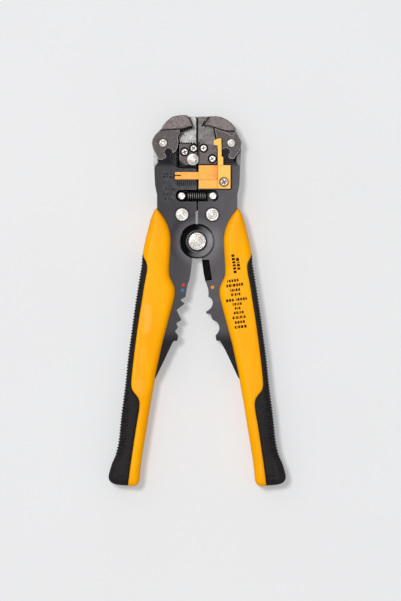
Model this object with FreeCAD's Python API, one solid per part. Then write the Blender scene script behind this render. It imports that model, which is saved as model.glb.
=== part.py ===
import FreeCAD, Part
import os, math

# Eight-inch self-adjusting wire stripper, crimper and cutter.
# Frame: origin at the main pivot on the mid-plane, +Z out of the front face,
# +Y towards the head, +X to the right seen from the front.  Millimetres.

# ---- driving dimensions ----------------------------------------------------
PLATE_IN = 4.0            # inner face of the lever side plates
PLATE_OUT = 6.5           # outer face of the lever side plates
CORE_Z = 3.95             # half thickness of cores and jaw carriers
CHEEK_IN = 4.05           # inner face of the upper-jaw cheeks
NOSE_TOP = 7.45           # front face of the proud jaw noses
NOSE_RIM = 0.55           # bevel round the nose
BLOCK_Z0 = -0.95          # back face of the lower jaw blocks
WALL_Z1 = -1.0            # front face of the mouth wall
PIN_R = 3.0               # main pivot pin
PIN_HOLE_R = 3.05
HUB_R = 9.5               # hub rings
RECESS_R = 9.6            # round recess in the plates round the hub
HEAD_R = 5.03             # main pivot head
FRAME_RIVET = (8.36, 14.74)
FRAME_RIVET_R = 2.0
FRAME_RIVET_HEAD_R = 3.7
JAW_PIVOT = (18.75, 54.07)
JAW_PIN_R = 1.5
JAW_HOLE_R = 1.55
JAW_HEAD_R = 2.4
KNOB = (15.8, 49.06)      # lever knob that drives the upper jaw
KNOB_R = 1.8
NOTCH_R = 2.3
SPRING_POST = (8.6, 25.0)
SPRING_POST_R = 2.05
SPRING_COIL_R = 2.5
SPRING_WIRE_R = 0.45
SPRING_Z = 0.5
GRIP_Z = 9.0              # half thickness of the handle grips
GRIP_ROUND = 2.2
GRIP_TURN = 2.95          # lever travel against its carrier, degrees
STOP_TRAVEL = 8.0         # length stop slide
SCREW_R = 1.8
SCREW_BORE_R = 2.35
KEEPER = (-2.42, 45.0)
KEEPER_R = 3.45
WALL_TOP = 68.6

V = FreeCAD.Vector
M0 = V(0, 0, 0)
ZAX = V(0, 0, 1)


# ---- helpers ----------------------------------------------------------------
def poly_face(pts):
    vs = [V(x, y, 0) for x, y in pts]
    vs.append(vs[0])
    return Part.Face(Part.makePolygon(vs))


def lift(face, z0, z1):
    f = face.copy()
    f.translate(V(0, 0, z0))
    return f.extrude(V(0, 0, z1 - z0))


def prism(pts, z0, z1):
    return lift(poly_face(pts), z0, z1)


def cyl(x, y, r, z0, z1):
    return Part.makeCylinder(r, z1 - z0, V(x, y, z0), ZAX)


def box(x0, x1, y0, y1, z0, z1):
    return Part.makeBox(x1 - x0, y1 - y0, z1 - z0, V(x0, y0, z0))


def mirror_pts(pts):
    return [(-x, y) for x, y in pts]


def mirrored(shape):
    return shape.mirror(V(0, 0, 0), V(1, 0, 0))


def fuse(shapes):
    s = shapes[0]
    if len(shapes) > 1:
        s = s.multiFuse(shapes[1:])
    return s.removeSplitter()


def cut(s, tools):
    if not isinstance(tools, list):
        tools = [tools]
    return s.cut(Part.makeCompound(tools)) if len(tools) > 1 else s.cut(tools[0])


def revolve(profile, x, y):
    """Solid of revolution about a Z axis through (x, y); profile is (r, z)."""
    vs = [V(x + r, y, z) for r, z in profile]
    vs.append(vs[0])
    f = Part.Face(Part.makePolygon(vs))
    return f.revolve(V(x, y, 0), ZAX, 360)


def sector(cx, cy, r0, r1, a0, a1, z0, z1, n=24):
    pts = []
    for i in range(n + 1):
        a = math.radians(a0 + (a1 - a0) * i / n)
        pts.append((cx + r1 * math.cos(a), cy + r1 * math.sin(a)))
    if r0 <= 0:
        pts.append((cx, cy))
    else:
        for i in range(n, -1, -1):
            a = math.radians(a0 + (a1 - a0) * i / n)
            pts.append((cx + r0 * math.cos(a), cy + r0 * math.sin(a)))
    return prism(pts, z0, z1)


def arc_pts(cx, cy, r, a0, a1, n):
    out = []
    for i in range(n + 1):
        a = math.radians(a0 + (a1 - a0) * i / n)
        out.append((cx + r * math.cos(a), cy + r * math.sin(a)))
    return out


def spline_face(runs):
    """Closed face from runs: ('s', pts) is a smooth curve, ('l', pts) straight.
    Each run starts where the one before ended."""
    edges = []
    for kind, pts in runs:
        vs = [V(x, y, 0) for x, y in pts]
        if kind == 's':
            c = Part.BSplineCurve()
            c.interpolate(vs)
            edges.append(c.toShape())
        else:
            for a, b in zip(vs[:-1], vs[1:]):
                edges.append(Part.makeLine(a, b))
    w = Part.Wire(Part.__sortEdges__(edges))
    return Part.Face(w)


def one_solid(s):
    sols = s.Solids
    if len(sols) > 1:
        sols = sorted(sols, key=lambda q: -q.Volume)
        return sols[0]
    return sols[0] if sols else s


def save(name, shape, count=1):
    sols = shape.Solids
    assert len(sols) == count, (name, len(sols), [round(q.Volume, 3) for q in sols])
    assert shape.isValid(), name + " invalid"
    out = sols[0] if count == 1 else Part.makeCompound(sols)
    out.exportStep("parts/" + name + ".step")
    print(name, round(sum(q.Volume for q in sols), 2))


os.makedirs("parts", exist_ok=True)

# ---- outlines ----------------------------------------------------------------
# inner working edges below the pivot: cutter flats, crimp nests
LEFT_EDGE = [(-2.62, -9.73), (-3.13, -14.13), (-3.63, -17.98), (-4.3, -21.56),
             (-5.06, -23.21), (-5.61, -25.68), (-6.05, -28.43), (-6.43, -30.74),
             (-8.85, -31.95), (-9.0, -32.5), (-6.98, -34.1), (-7.05, -34.5),
             (-11.0, -37.57), (-11.2, -38.06), (-8.8, -42.9), (-8.95, -43.56),
             (-11.0, -44.66), (-11.38, -45.48), (-10.55, -47.13),
             (-11.05, -48.13), (-11.99, -49.12), (-12.05, -49.78),
             (-10.42, -51.81), (-10.7, -53.73), (-11.11, -54.84),
             (-12.65, -54.78), (-13.48, -55.66), (-18.0, -65.2),
             (-22.55, -74.64)]
RIGHT_EDGE = [(2.55, -9.75), (2.62, -10.4), (3.4, -16.88), (4.5, -22.11),
              (5.23, -23.76), (6.05, -26.51), (6.2, -28.71), (6.1, -30.5),
              (7.1, -30.95), (7.95, -31.8), (8.45, -33.0), (8.5, -34.3), (8.15, -35.6),
              (7.35, -36.8), (6.25, -37.8), (4.75, -38.78), (5.2, -39.82), (7.3, -39.98),
              (7.95, -41.91), (8.5, -43.2), (9.7, -43.7), (10.9, -44.5), (11.75, -45.7),
              (12.15, -47.1), (12.1, -48.5), (11.6, -49.8), (10.85, -50.9), (10.05, -51.75),
              (10.5, -54.56), (12.54, -54.78), (13.48, -56.48),
              (15.4, -59.78), (18.15, -65.56), (22.3, -74.6)]
# outer edge of the lever plate, top to bottom, the lower part under the grip
PLATE_OUTER = [(-23.6, 40.3), (-23.45, 35.5), (-23.2, 31.0), (-22.66, 28.2),
               (-22.1, 25.5), (-22.1, 17.6), (-22.3, 14.0), (-23.2, 9.5),
               (-25.5, 0.0), (-27.2, -10.0), (-30.2, -30.0), (-33.2, -50.0),
               (-35.6, -70.0), (-36.7, -84.0), (-38.0, -98.0), (-38.6, -108.0)]
TANG_INNER = [(-34.2, -108.0), (-31.4, -96.0), (-27.0, -82.0)]
# knob, neck and shoulders at the top of the lever plate
kx, ky = -KNOB[0], KNOB[1]
NECK_LEFT = [(-16.95, 46.4), (-17.75, 45.2), (-19.91, 44.06), (-21.94, 42.79),
             (-22.9, 41.6)]
NECK_RIGHT = [(-14.62, 46.6), (-14.35, 45.6), (-13.86, 43.89), (-13.03, 42.08),
              (-11.66, 40.7), (-10.01, 40.15), (-7.81, 39.99), (-0.9, 39.9),
              (-0.45, 39.5)]


def lever_outline(edge, slot_x):
    """Left-hand plate outline; edge is the working edge in left-hand terms."""
    knob = arc_pts(kx, ky, KNOB_R, 230, -50, 22)
    pts = list(reversed(NECK_LEFT)) + knob + NECK_RIGHT
    pts += [(-0.45, 16.3), (-slot_x, 16.2)]
    a0 = math.degrees(math.atan2(math.sqrt(RECESS_R ** 2 - slot_x ** 2), -slot_x))
    ex, ey = edge[0]
    a1 = math.degrees(math.atan2(ey, ex)) + 360
    pts += arc_pts(0, 0, RECESS_R, a0, a1, 40)
    pts += edge[0:]
    pts += [(-24.2, -77.0)] + list(reversed(TANG_INNER)) + list(reversed(PLATE_OUTER))
    return pts


left_plate_pts = lever_outline(LEFT_EDGE, 0.83)
right_plate_pts = mirror_pts(lever_outline(mirror_pts(RIGHT_EDGE), 0.35))

# ---- lever side plates ---------------------------------------------------------
sx, sy = SPRING_POST
window = Part.makeCompound([])


def spring_window(z0, z1):
    return fuse([cyl(-sx, sy, 3.35, z0, z1), cyl(sx, sy, 3.35, z0, z1),
                 box(-sx, sx, 21.75, 28.4, z0, z1)])


left_front = prism(left_plate_pts, PLATE_IN, PLATE_OUT)
left_back = prism(left_plate_pts, -PLATE_OUT, -PLATE_IN)
right_front = prism(right_plate_pts, PLATE_IN, PLATE_OUT)
right_back = prism(right_plate_pts, -PLATE_OUT, -PLATE_IN)

rx, ry = FRAME_RIVET
ticks = [box(-10.9 + 1.09 * i - 0.24, -10.9 + 1.09 * i + 0.24,
             30.2 if i % 4 == 0 else 30.9, 33.2, PLATE_OUT - 0.22, PLATE_OUT + 1)
         for i in range(10)]
# rows of plain dashes that stand for the engraved size table
for dash_y, dash_h, dashes in ((35.1, 0.55, ((-18.9, 1.2), (-16.9, 0.7), (-15.3, 1.3), (-13.1, 0.6))),
                               (37.0, 0.5, ((-18.6, 0.8), (-17.1, 1.2), (-15.0, 0.6))),
                               (28.4, 0.55, ((-17.6, 0.9), (-15.9, 0.6), (-13.6, 1.1))),
                               (25.6, 0.55, ((-18.3, 0.6), (-16.9, 1.1), (-14.8, 0.6))),
                               (22.9, 0.55, ((-18.0, 1.1), (-16.0, 0.6), (-14.6, 0.9)))):
    for dash_x, dash_w in dashes:
        ticks.append(box(dash_x, dash_x + dash_w, dash_y, dash_y + dash_h, PLATE_OUT - 0.22, PLATE_OUT + 1))
marks = {"marker_red": (-7.5, -24.0, 0.85), "marker_blue": (-8.1, -26.95, 0.92),
         "marker_yellow": (8.4, -25.3, 0.88)}
MARK_Z = PLATE_OUT - 0.35


def mark_cut(n):
    x, y, r = marks[n]
    return cyl(x, y, r, MARK_Z, PLATE_OUT + 1)


left_front = cut(left_front, [spring_window(3, 8), cyl(-rx, ry, FRAME_RIVET_R, 0, 9),
                              mark_cut("marker_red"), mark_cut("marker_blue")] + ticks)
left_back = cut(left_back, [cyl(-rx, ry, FRAME_RIVET_R, -9, 0)])

# cutter blade seat in the right lever
BLADE = [(2.62, -10.4), (6.6, -10.1), (8.25, -21.3), (4.42, -21.9), (3.4, -16.88)]
BLADE_SEAT = [(1.4, -10.05), (6.6, -10.1), (8.25, -21.3), (4.42, -21.9), (2.0, -21.5)]
# T slot that guides the length stop
SLOT_Y = 36.1
SLOT_X0, SLOT_X1 = 2.4, 2.4 + 3.2 + STOP_TRAVEL + 0.1
slot_top = box(SLOT_X0 - 0.1, SLOT_X1, SLOT_Y - 1.15, SLOT_Y + 1.15, PLATE_IN - 1, PLATE_OUT + 1)
slot_low = box(SLOT_X0 - 0.1, SLOT_X1, SLOT_Y - 2.15, SLOT_Y + 2.15, PLATE_IN - 1, 5.1)
right_front = cut(right_front, [spring_window(3, 8), cyl(rx, ry, FRAME_RIVET_R, 0, 9),
                                mark_cut("marker_yellow"), slot_top, slot_low,
                                prism(BLADE_SEAT, 0, 9)])
right_back = cut(right_back, [cyl(rx, ry, FRAME_RIVET_R, -9, 0)])
save("left_front_plate", one_solid(left_front))
save("left_back_plate", one_solid(left_back))
save("right_front_plate", one_solid(right_front))
save("right_back_plate", one_solid(right_back))
for n in marks:
    x, y, r = marks[n]
    save(n, cyl(x, y, r, MARK_Z, PLATE_OUT + 0.04))

# ---- lever cores ------------------------------------------------------------------


def lever_core(edge, ring_z0, ring_z1):
    """Spacer between the side plates below the pivot, left-hand terms, with
    the lever's hub ring."""
    ex, ey = edge[0]
    a1 = math.degrees(math.atan2(ey, ex)) + 360
    pts = arc_pts(0, 0, RECESS_R, 196, a1, 30) + list(edge)
    pts += [(-24.2, -77.0)] + list(reversed(TANG_INNER))
    pts += [p for p in reversed(PLATE_OUTER) if p[1] < -1]
    pts += [(-24.4, -2.0), (-13.0, -2.75)]
    core = prism(pts, -CORE_Z, CORE_Z)
    ring = cyl(0, 0, HUB_R, ring_z0, ring_z1)
    link = sector(0, 0, 5.0, RECESS_R + 0.6, 199, a1 - 1, ring_z0, ring_z1)
    return fuse([core, ring, link])


bore = cyl(0, 0, PIN_HOLE_R, -20, 20)
left_core = cut(lever_core(LEFT_EDGE, 2.05, CORE_Z), bore)
right_core = mirrored(lever_core(mirror_pts(RIGHT_EDGE), -CORE_Z, -2.05))
right_core = cut(right_core, [bore, prism(BLADE_SEAT, -CORE_Z - 1, CORE_Z + 1)])
save("left_core", one_solid(left_core))
save("right_core", one_solid(right_core))

# cutter blade: hardened insert with a bevel towards its cutting edge
blade = prism(BLADE, -CORE_Z, 5.6)
bev = Part.makePolygon([V(0, 0, 1.2), V(-6, 0, 1.2), V(-6, 0, 9), V(4.2, 0, 9), V(0, 0, 1.2)])
bev = Part.Face(bev).extrude(V(0, 30, 0))
bev.rotate(V(0, 0, 0), ZAX, 8.15)
bev.translate(V(2.62 + 2.9, -10.4 - 15.0, 0))
blade = one_solid(blade)
edge_dir = math.degrees(math.atan2(4.42 - 2.62, 21.9 - 10.4))
bev2 = Part.Face(Part.makePolygon([V(0.0, 0, 1.4), V(-5, 0, 1.4), V(-5, 0, 9), V(2.6, 0, 9), V(0.0, 0, 1.4)]))
bev2 = bev2.extrude(V(0, -40, 0))
bev2.translate(V(0, 12, 0))
bev2.rotate(V(0, 0, 0), ZAX, edge_dir)
bev2.translate(V(2.62, -10.4, 0))
blade = one_solid(cut(blade, bev2))
save("cutter_blade", blade)

# ---- lever rivets, main pivot ------------------------------------------------------


def rivet(x, y, r_shank, r_head, z_in, z_top, grooves=()):
    """Rivet with a turned head at each end."""
    prof = [(0, -z_top), (r_head - 0.5, -z_top), (r_head, -z_top + 0.45), (r_head, -z_in),
            (r_shank, -z_in), (r_shank, z_in), (r_head, z_in), (r_head, z_top - 0.45),
            (r_head - 0.5, z_top)]
    for g in sorted(grooves, reverse=True):
        prof += [(g + 0.13, z_top), (g, z_top - 0.13), (g - 0.13, z_top)]
    prof += [(0, z_top)]
    return revolve(prof, x, y)


save("main_pivot_pin", rivet(0, 0, PIN_R, HEAD_R, 4.0, 7.3, (0.8, 1.6, 2.4, 3.2, 4.0)))
save("left_frame_rivet", rivet(-rx, ry, FRAME_RIVET_R, FRAME_RIVET_HEAD_R, PLATE_OUT, 7.6, (0.8, 1.6, 2.4)))
save("right_frame_rivet", rivet(rx, ry, FRAME_RIVET_R, FRAME_RIVET_HEAD_R, PLATE_OUT, 7.6, (0.8, 1.6, 2.4)))
px, py = JAW_PIVOT

# ---- jaw carriers --------------------------------------------------------------------
CARRIER = [(-24.15, 50.4), (-23.9, 41.6), (-22.6, 38.5), (-22.2, 30.0), (-21.3, 24.5),
           (-20.4, 17.5), (-15.5, 8.2)]


def carrier(ring_z0, ring_z1, inner, slot):
    """Left-hand jaw carrier: thick frame, thin mouth wall, hub ring."""
    body_pts = [(-23.6, 54.6), (-21.6, 55.75), (-16.2, 55.75), (-14.2, 54.3), (-10.7, 53.4),
                (-10.7, 41.2), (-inner, 41.2), (-inner, 16.6), (-slot, 16.4)]
    a0 = math.degrees(math.atan2(math.sqrt(RECESS_R ** 2 - slot ** 2), -slot))
    body_pts += arc_pts(0, 0, RECESS_R, a0, 150, 16)
    body_pts += list(reversed(CARRIER))
    body = prism(body_pts, -CORE_Z, CORE_Z)
    a = math.radians(57)
    wall_pts = [(-inner, 40.0), (-inner, WALL_TOP), (-px + 14.6 / math.tan(a), WALL_TOP),
                (-px + 4.6 * math.cos(a), py + 4.6 * math.sin(a))]
    wall_pts += arc_pts(-px, py, 4.8, 57, 178, 24)
    wall_pts += [(-24.15, 50.4), (-23.9, 41.6), (-22.6, 38.5)]
    wall = prism(wall_pts, -CORE_Z, WALL_Z1)
    ring = cyl(0, 0, HUB_R, ring_z0, ring_z1)
    link = sector(0, 0, 5.0, RECESS_R + 0.5, a0 + 0.5, 149, ring_z0, ring_z1)
    c = fuse([body, wall, ring, link])
    # pocket for the spring, its floor carries the post
    pocket = fuse([cyl(-sx, sy, 3.9, -2.6, 9), box(-sx, 2, sy - 3.15, sy + 3.9, -2.6, 9)])
    # arc slot that the lever rivet travels in
    arc = [cyl(*rot((-rx, ry), t), FRAME_RIVET_R + 0.12, -9, 9)
           for t in [0, 0.5, 1.0, 1.5, 2.0, 2.5, GRIP_TURN + 0.1]]
    c = cut(c, [bore, pocket, fuse(arc)])
    c = cut(c, [cyl(-px, py, JAW_PIN_R, -9, 9), cyl(-sx, sy, 1.2, -9, 0)])
    return c


def rot(p, deg):
    a = math.radians(deg)
    return (p[0] * math.cos(a) - p[1] * math.sin(a), p[0] * math.sin(a) + p[1] * math.cos(a))


screws_left = [(-6.88, 49.2), (-1.98, 51.15)]
screws_right = [(3.58, 51.2), (8.36, 45.4)]
left_carrier = carrier(0.05, 1.95, 0.2, 0.83)
right_carrier = mirrored(carrier(-1.95, -0.05, 0.5, 0.5))
# the left carrier has a thin tongue that lies behind the right one, so the joint is closed at rest
TONGUE = 1.1
left_carrier = fuse([left_carrier, box(-1.0, TONGUE, 16.9, WALL_TOP - 0.4, -CORE_Z, -2.7)])
right_carrier = cut(right_carrier, [box(-1.0, TONGUE + 0.25, 16.2, WALL_TOP + 1.0, -CORE_Z - 1, -2.6)])
left_carrier = cut(left_carrier, [cyl(x, y, 1.0, -9, 9) for x, y in screws_left]
                   + [cyl(KEEPER[0], KEEPER[1], 1.4, -9, 9)])
right_carrier = cut(right_carrier, [cyl(x, y, 1.0, -9, 9) for x, y in screws_right])
save("left_carrier", one_solid(left_carrier))
save("right_carrier", one_solid(right_carrier))

# jaw pins with heads over the cheeks
for side, s in (("left", -1), ("right", 1)):
    save(side + "_jaw_pin", rivet(s * px, py, JAW_PIN_R, JAW_HEAD_R, 6.55, 7.4, (0.8, 1.5)))

# spring posts, shouldered pins pressed into the carrier floor
for side, s in (("left", -1), ("right", 1)):
    post = revolve([(0, -CORE_Z), (1.2, -CORE_Z), (1.2, -2.6), (SPRING_POST_R, -2.6),
                    (SPRING_POST_R, -0.5), (1.35, -0.3), (1.35, 1.3), (SPRING_POST_R, 1.5),
                    (SPRING_POST_R, 3.5), (SPRING_POST_R - 0.35, 3.85), (0, 3.85)], s * sx, sy)
    save(side + "_spring_post", post)

# ---- tension spring ------------------------------------------------------------------
turns = 10
hx = 5.2
hr = 1.35 + SPRING_WIRE_R + 0.05


def hook(s):
    """Loop round the post and the level leg that runs into the end of the coil."""
    def on(a):
        t = math.radians(a)
        return V(s * (sx - hr * math.cos(t)), sy + hr * math.sin(t), SPRING_Z)
    loop = Part.Arc(on(-30), on(-150), on(-270)).toShape()
    leg = Part.makeLine(on(-270), V(s * (hx - 0.5), sy + hr, SPRING_Z))
    w = Part.Wire([loop, leg])
    a0 = math.radians(-30)
    ring_dir = V(s * math.sin(a0), math.cos(a0), 0)
    sect = Part.Wire([Part.makeCircle(SPRING_WIRE_R, on(-30), ring_dir)])
    return w.makePipeShell([sect], True, True)


# close-wound coil: every turn is a round bead on a sleeve
pitch = 2 * hx / turns
bead = [V(-hx, sy + 1.5, SPRING_Z), V(-hx, sy + SPRING_COIL_R, SPRING_Z)]
for t in range(turns):
    xc = -hx + (t + 0.5) * pitch
    for a in (180, 150, 120, 90, 60, 30, 0):
        r_a = math.radians(a)
        bead.append(V(xc + SPRING_WIRE_R * math.cos(r_a), sy + SPRING_COIL_R + SPRING_WIRE_R * math.sin(r_a), SPRING_Z))
bead += [V(hx, sy + SPRING_COIL_R, SPRING_Z), V(hx, sy + 1.5, SPRING_Z)]
coil = Part.Face(Part.makePolygon(bead + [bead[0]])).revolve(V(0, sy, SPRING_Z), V(1, 0, 0), 360)
spring = one_solid(fuse([coil, hook(-1), hook(1)]))
save("tension_spring", spring)

# ---- lower jaws ----------------------------------------------------------------------


def teeth(x0, x1, y, n, h):
    out = []
    w = (x1 - x0) / n
    for i in range(n):
        out += [(x0 + w * i, y), (x0 + w * (i + 0.5), y + h)]
    out.append((x1, y))
    return out


def rounded(pts, idx, r, n=6):
    """Round the corner at idx of a polygon."""
    p0, p1, p2 = pts[idx - 1], pts[idx], pts[(idx + 1) % len(pts)]
    def unit(a, b):
        d = math.hypot(b[0] - a[0], b[1] - a[1])
        return ((b[0] - a[0]) / d, (b[1] - a[1]) / d)
    u = unit(p1, p0)
    v = unit(p1, p2)
    a = (p1[0] + u[0] * r, p1[1] + u[1] * r)
    b = (p1[0] + v[0] * r, p1[1] + v[1] * r)
    mid = []
    for i in range(n + 1):
        t = i / n
        mid.append(((1 - t) ** 2 * a[0] + 2 * t * (1 - t) * p1[0] + t * t * b[0],
                    (1 - t) ** 2 * a[1] + 2 * t * (1 - t) * p1[1] + t * t * b[1]))
    return pts[:idx] + mid + pts[idx + 1:]


lj = teeth(-9.3, -1.2, 53.6, 6, 0.95) + [(-0.15, 53.6), (-0.15, 41.9), (-6.6, 41.9), (-9.85, 44.6),
                                          (-9.85, 53.6)]
left_lower = prism(lj, BLOCK_Z0, CORE_Z)
left_lower = cut(left_lower, [cyl(x, y, 1.0, -9, 9) for x, y in screws_left]
                 + [cyl(x, y, SCREW_BORE_R, 2.6, 9) for x, y in screws_left]
                 + [cyl(KEEPER[0], KEEPER[1], 1.4, -9, 9)])
save("left_lower_jaw", one_solid(left_lower))

rj = [(1.35, 53.75), (6.0, 53.6), (8.7, 53.1), (10.55, 52.6), (11.1, 51.9), (11.1, 43.6), (10.2, 42.6),
      (0.4, 42.6), (0.4, 45.2), (1.35, 45.2)]
right_lower = prism(rj, BLOCK_Z0, CORE_Z)
right_lower = cut(right_lower, [cyl(x, y, 1.0, -9, 9) for x, y in screws_right]
                  + [cyl(x, y, SCREW_BORE_R, 2.6, 9) for x, y in screws_right])
# the right block overlaps the thick part of its carrier: shared corner removed
save("right_lower_jaw", one_solid(cut(right_lower, right_carrier)))
lower_blade = prism([(0.4, 45.25), (1.3, 45.25), (1.3, 54.0), (0.75, 54.75), (0.4, 54.75)], BLOCK_Z0, 3.6)
save("lower_strip_blade", lower_blade)

# jaw screws: cross-recess cap screws, two to a side


def cross_screw(x, y, z_seat, r, h, shank_r, z_end, turn):
    head = revolve([(0, z_seat), (r, z_seat), (r, z_seat + h - 0.3), (r - 0.35, z_seat + h), (0, z_seat + h)], x, y)
    sh = cyl(x, y, shank_r, z_end, z_seat + 0.1)
    s = fuse([head, sh])
    w, l, d = 0.20 * r, 0.66 * r, 0.75
    b1 = box(x - w, x + w, y - l, y + l, z_seat + h - d, z_seat + h + 1)
    b2 = box(x - l, x + l, y - w, y + w, z_seat + h - d, z_seat + h + 1)
    c = fuse([b1, b2])
    c.rotate(V(x, y, 0), ZAX, turn)
    return cut(s, c)


def screw_group(points, turns_deg):
    return Part.makeCompound([one_solid(cross_screw(x, y, 2.6, SCREW_R, 1.2, 0.98, -CORE_Z, t))
                              for (x, y), t in zip(points, turns_deg)])


save("left_jaw_screws", screw_group(screws_left, (20, 50)), 2)
save("right_jaw_screws", screw_group(screws_right, (10, 35)), 2)
keeper = revolve([(0, -CORE_Z), (1.4, -CORE_Z), (1.4, 4.1), (KEEPER_R, 4.1), (KEEPER_R, 5.5),
                  (KEEPER_R - 0.5, 5.95), (1.9, 6.1), (1.75, 5.95), (1.6, 6.1), (0, 6.15)], KEEPER[0], KEEPER[1])
save("keeper_stud", keeper)

# ---- upper jaws ------------------------------------------------------------------------
CHEEK = [(-19.91, 61.88), (-23.21, 58.47), (-24.6, 56.2), (-25.0, 53.9), (-24.31, 51.04),
         (-21.5, 45.4), (-20.9, 44.95), (-19.63, 44.85), (-17.6, 45.75), (-17.2, 46.4), (-17.21, 47.25)]
a_l = math.degrees(math.atan2(47.25 - ky, -17.21 - kx)) + 360
CHEEK += [p for p in arc_pts(kx, ky, NOTCH_R, a_l, -18, 26)]
CHEEK += [(-12.2, 49.3), (-11.66, 49.8), (-10.83, 51.87), (-10.39, 55.17), (-10.89, 57.37),
          (-10.12, 59.02), (-8.6, 60.4)]
NOSE_L_TOP = [(-19.74, 61.99), (-18.81, 63.53), (-16.88, 66.0), (-14.96, 67.65), (-13.03, 68.7),
              (-10.56, 69.25), (-7.81, 69.41), (-5.44, 69.36), (-3.96, 66.72), (-2.75, 63.9),
              (-2.9, 63.2)]


def slope_teeth(p0, p1, n, h):
    """Teeth hanging below the line p0-p1, walked from p0 to p1."""
    out = []
    dx, dy = p1[0] - p0[0], p1[1] - p0[1]
    d = math.hypot(dx, dy)
    nx, ny = (dy / d, -dx / d) if dx > 0 else (-dy / d, dx / d)
    if ny > 0:
        nx, ny = -nx, -ny
    for i in range(n):
        out.append((p0[0] + dx * i / n, p0[1] + dy * i / n))
        out.append((p0[0] + dx * (i + 0.5) / n + nx * h, p0[1] + dy * (i + 0.5) / n + ny * h))
    out.append(p1)
    return out


def chamfered(pts, z0, z1, c):
    """Prism whose front rim is bevelled by c all round."""
    n = len(pts)
    area = sum(pts[i][0] * pts[(i + 1) % n][1] - pts[(i + 1) % n][0] * pts[i][1] for i in range(n))
    s = 1 if area > 0 else -1
    inner = []
    for i in range(n):
        (xa, ya), (xb, yb), (xc, yc) = pts[i - 1], pts[i], pts[(i + 1) % n]
        la, lc = math.hypot(xb - xa, yb - ya), math.hypot(xc - xb, yc - yb)
        n1 = (-(yb - ya) / la * s, (xb - xa) / la * s)
        n2 = (-(yc - yb) / lc * s, (xc - xb) / lc * s)
        k = 1.0 + n1[0] * n2[0] + n1[1] * n2[1]
        k = max(k, 0.6)
        inner.append((xb + c * (n1[0] + n2[0]) / k, yb + c * (n1[1] + n2[1]) / k))
    lo = [V(x, y, z0) for x, y in pts]
    mid = [V(x, y, z1 - c) for x, y in pts]
    hi = [V(x, y, z1) for x, y in inner]
    faces = [Part.Face(Part.makePolygon(lo + [lo[0]])), Part.Face(Part.makePolygon(hi + [hi[0]]))]
    for i in range(n):
        j = (i + 1) % n
        faces.append(Part.Face(Part.makePolygon([lo[i], lo[j], mid[j], mid[i], lo[i]])))
        for t in ((mid[i], mid[j], hi[j]), (mid[i], hi[j], hi[i])):
            faces.append(Part.Face(Part.makePolygon([t[0], t[1], t[2], t[0]])))
    q = Part.Solid(Part.makeShell(faces))
    if q.Volume < 0:
        q.reverse()
    return q


def upper_jaw(nose_pts, cheek_pts, top, web_a0, web_a1, cap_pts):
    """Left-hand upper jaw: front and back cheek, proud nose, outer web."""
    front = prism(cheek_pts, CHEEK_IN, PLATE_OUT)
    back = prism(cheek_pts, -PLATE_OUT, -CHEEK_IN)
    nose = fuse([prism(nose_pts, BLOCK_Z0 + 0.05, PLATE_OUT), chamfered(cap_pts, PLATE_OUT - 0.5, top, NOSE_RIM)])
    nose_b = prism(nose_pts, -PLATE_OUT, -CHEEK_IN)
    tall = fuse([prism(cheek_pts, -PLATE_OUT, PLATE_OUT), prism(nose_pts, -PLATE_OUT, PLATE_OUT)])
    web = tall.common(sector(-px, py, 5.25, 14.0, web_a0, web_a1, -PLATE_OUT, PLATE_OUT))
    return fuse([front, back, nose, nose_b, web])


nose_left = NOSE_L_TOP + list(slope_teeth((-2.95, 63.1), (-9.3, 61.0), 5, 0.7)) + [(-11.5, 60.9), (-19.2, 61.2)]
nose_left_plain = nose_left
CAP_L = [(-19.5, 61.35), (-18.81, 63.53), (-16.88, 66.0), (-14.96, 67.65), (-13.03, 68.7),
         (-10.56, 69.25), (-7.81, 69.41), (-5.44, 69.36), (-3.96, 66.72), (-2.8, 63.5), (-7.9, 61.95)]
left_upper = upper_jaw(nose_left, CHEEK, NOSE_TOP, 88, 124, CAP_L)
left_upper = cut(left_upper, cyl(-px, py, JAW_HOLE_R, -20, 20))
save("left_upper_jaw", one_solid(left_upper))

# right-hand jaw in left-hand terms
CHEEK_R = [(-21.4, 60.9), (-22.4, 58.6), (-23.6, 56.5), (-24.55, 54.3), (-24.1, 51.6), (-22.6, 48.6),
           (-20.9, 46.4), (-19.9, 45.2), (-18.3, 45.6), (-17.3, 46.3), (-17.21, 47.25)]
CHEEK_R += [p for p in arc_pts(kx, ky, NOTCH_R, a_l, -18, 26)]
CHEEK_R += [(-12.2, 49.3), (-11.66, 49.8), (-10.9, 52.0), (-10.73, 56.5), (-10.34, 59.0), (-9.65, 62.2),
            (-11.0, 61.4), (-15.8, 59.95), (-19.1, 58.0), (-20.4, 59.6)]
NOSE_R = [(-7.21, 68.75), (-10.34, 68.81), (-13.09, 68.37), (-15.57, 67.38), (-17.77, 65.89),
          (-19.42, 64.24), (-21.07, 62.32), (-21.45, 61.05), (-20.79, 60.72), (-18.04, 60.72),
          (-15.29, 60.83), (-11.99, 61.82), (-8.14, 63.2), (-4.95, 64.1), (-4.68, 64.35)]
CAP_R = NOSE_R[:7] + [(-21.2, 60.85)] + NOSE_R[9:13] + [(-4.9, 64.15)]
right_upper = upper_jaw(NOSE_R, CHEEK_R, NOSE_TOP, 86, 124, CAP_R)
deck = prism([(-19.4, 58.2), (-15.8, 59.9), (-11.0, 61.3), (-11.9, 61.9), (-15.3, 60.9), (-20.9, 60.8),
              (-20.6, 59.4)], CHEEK_IN, 5.4)
right_upper = fuse([right_upper, deck])
right_upper = mirrored(right_upper)
right_upper = cut(right_upper, cyl(px, py, JAW_HOLE_R, -20, 20))
save("right_upper_jaw", one_solid(right_upper))
upper_blade = prism([(5.75, 68.45), (7.15, 68.78), (4.68, 64.42), (3.25, 63.7)], BLOCK_Z0 + 0.05, 6.4)
upper_blade = cut(upper_blade, right_upper)
save("upper_strip_blade", one_solid(upper_blade))

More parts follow.
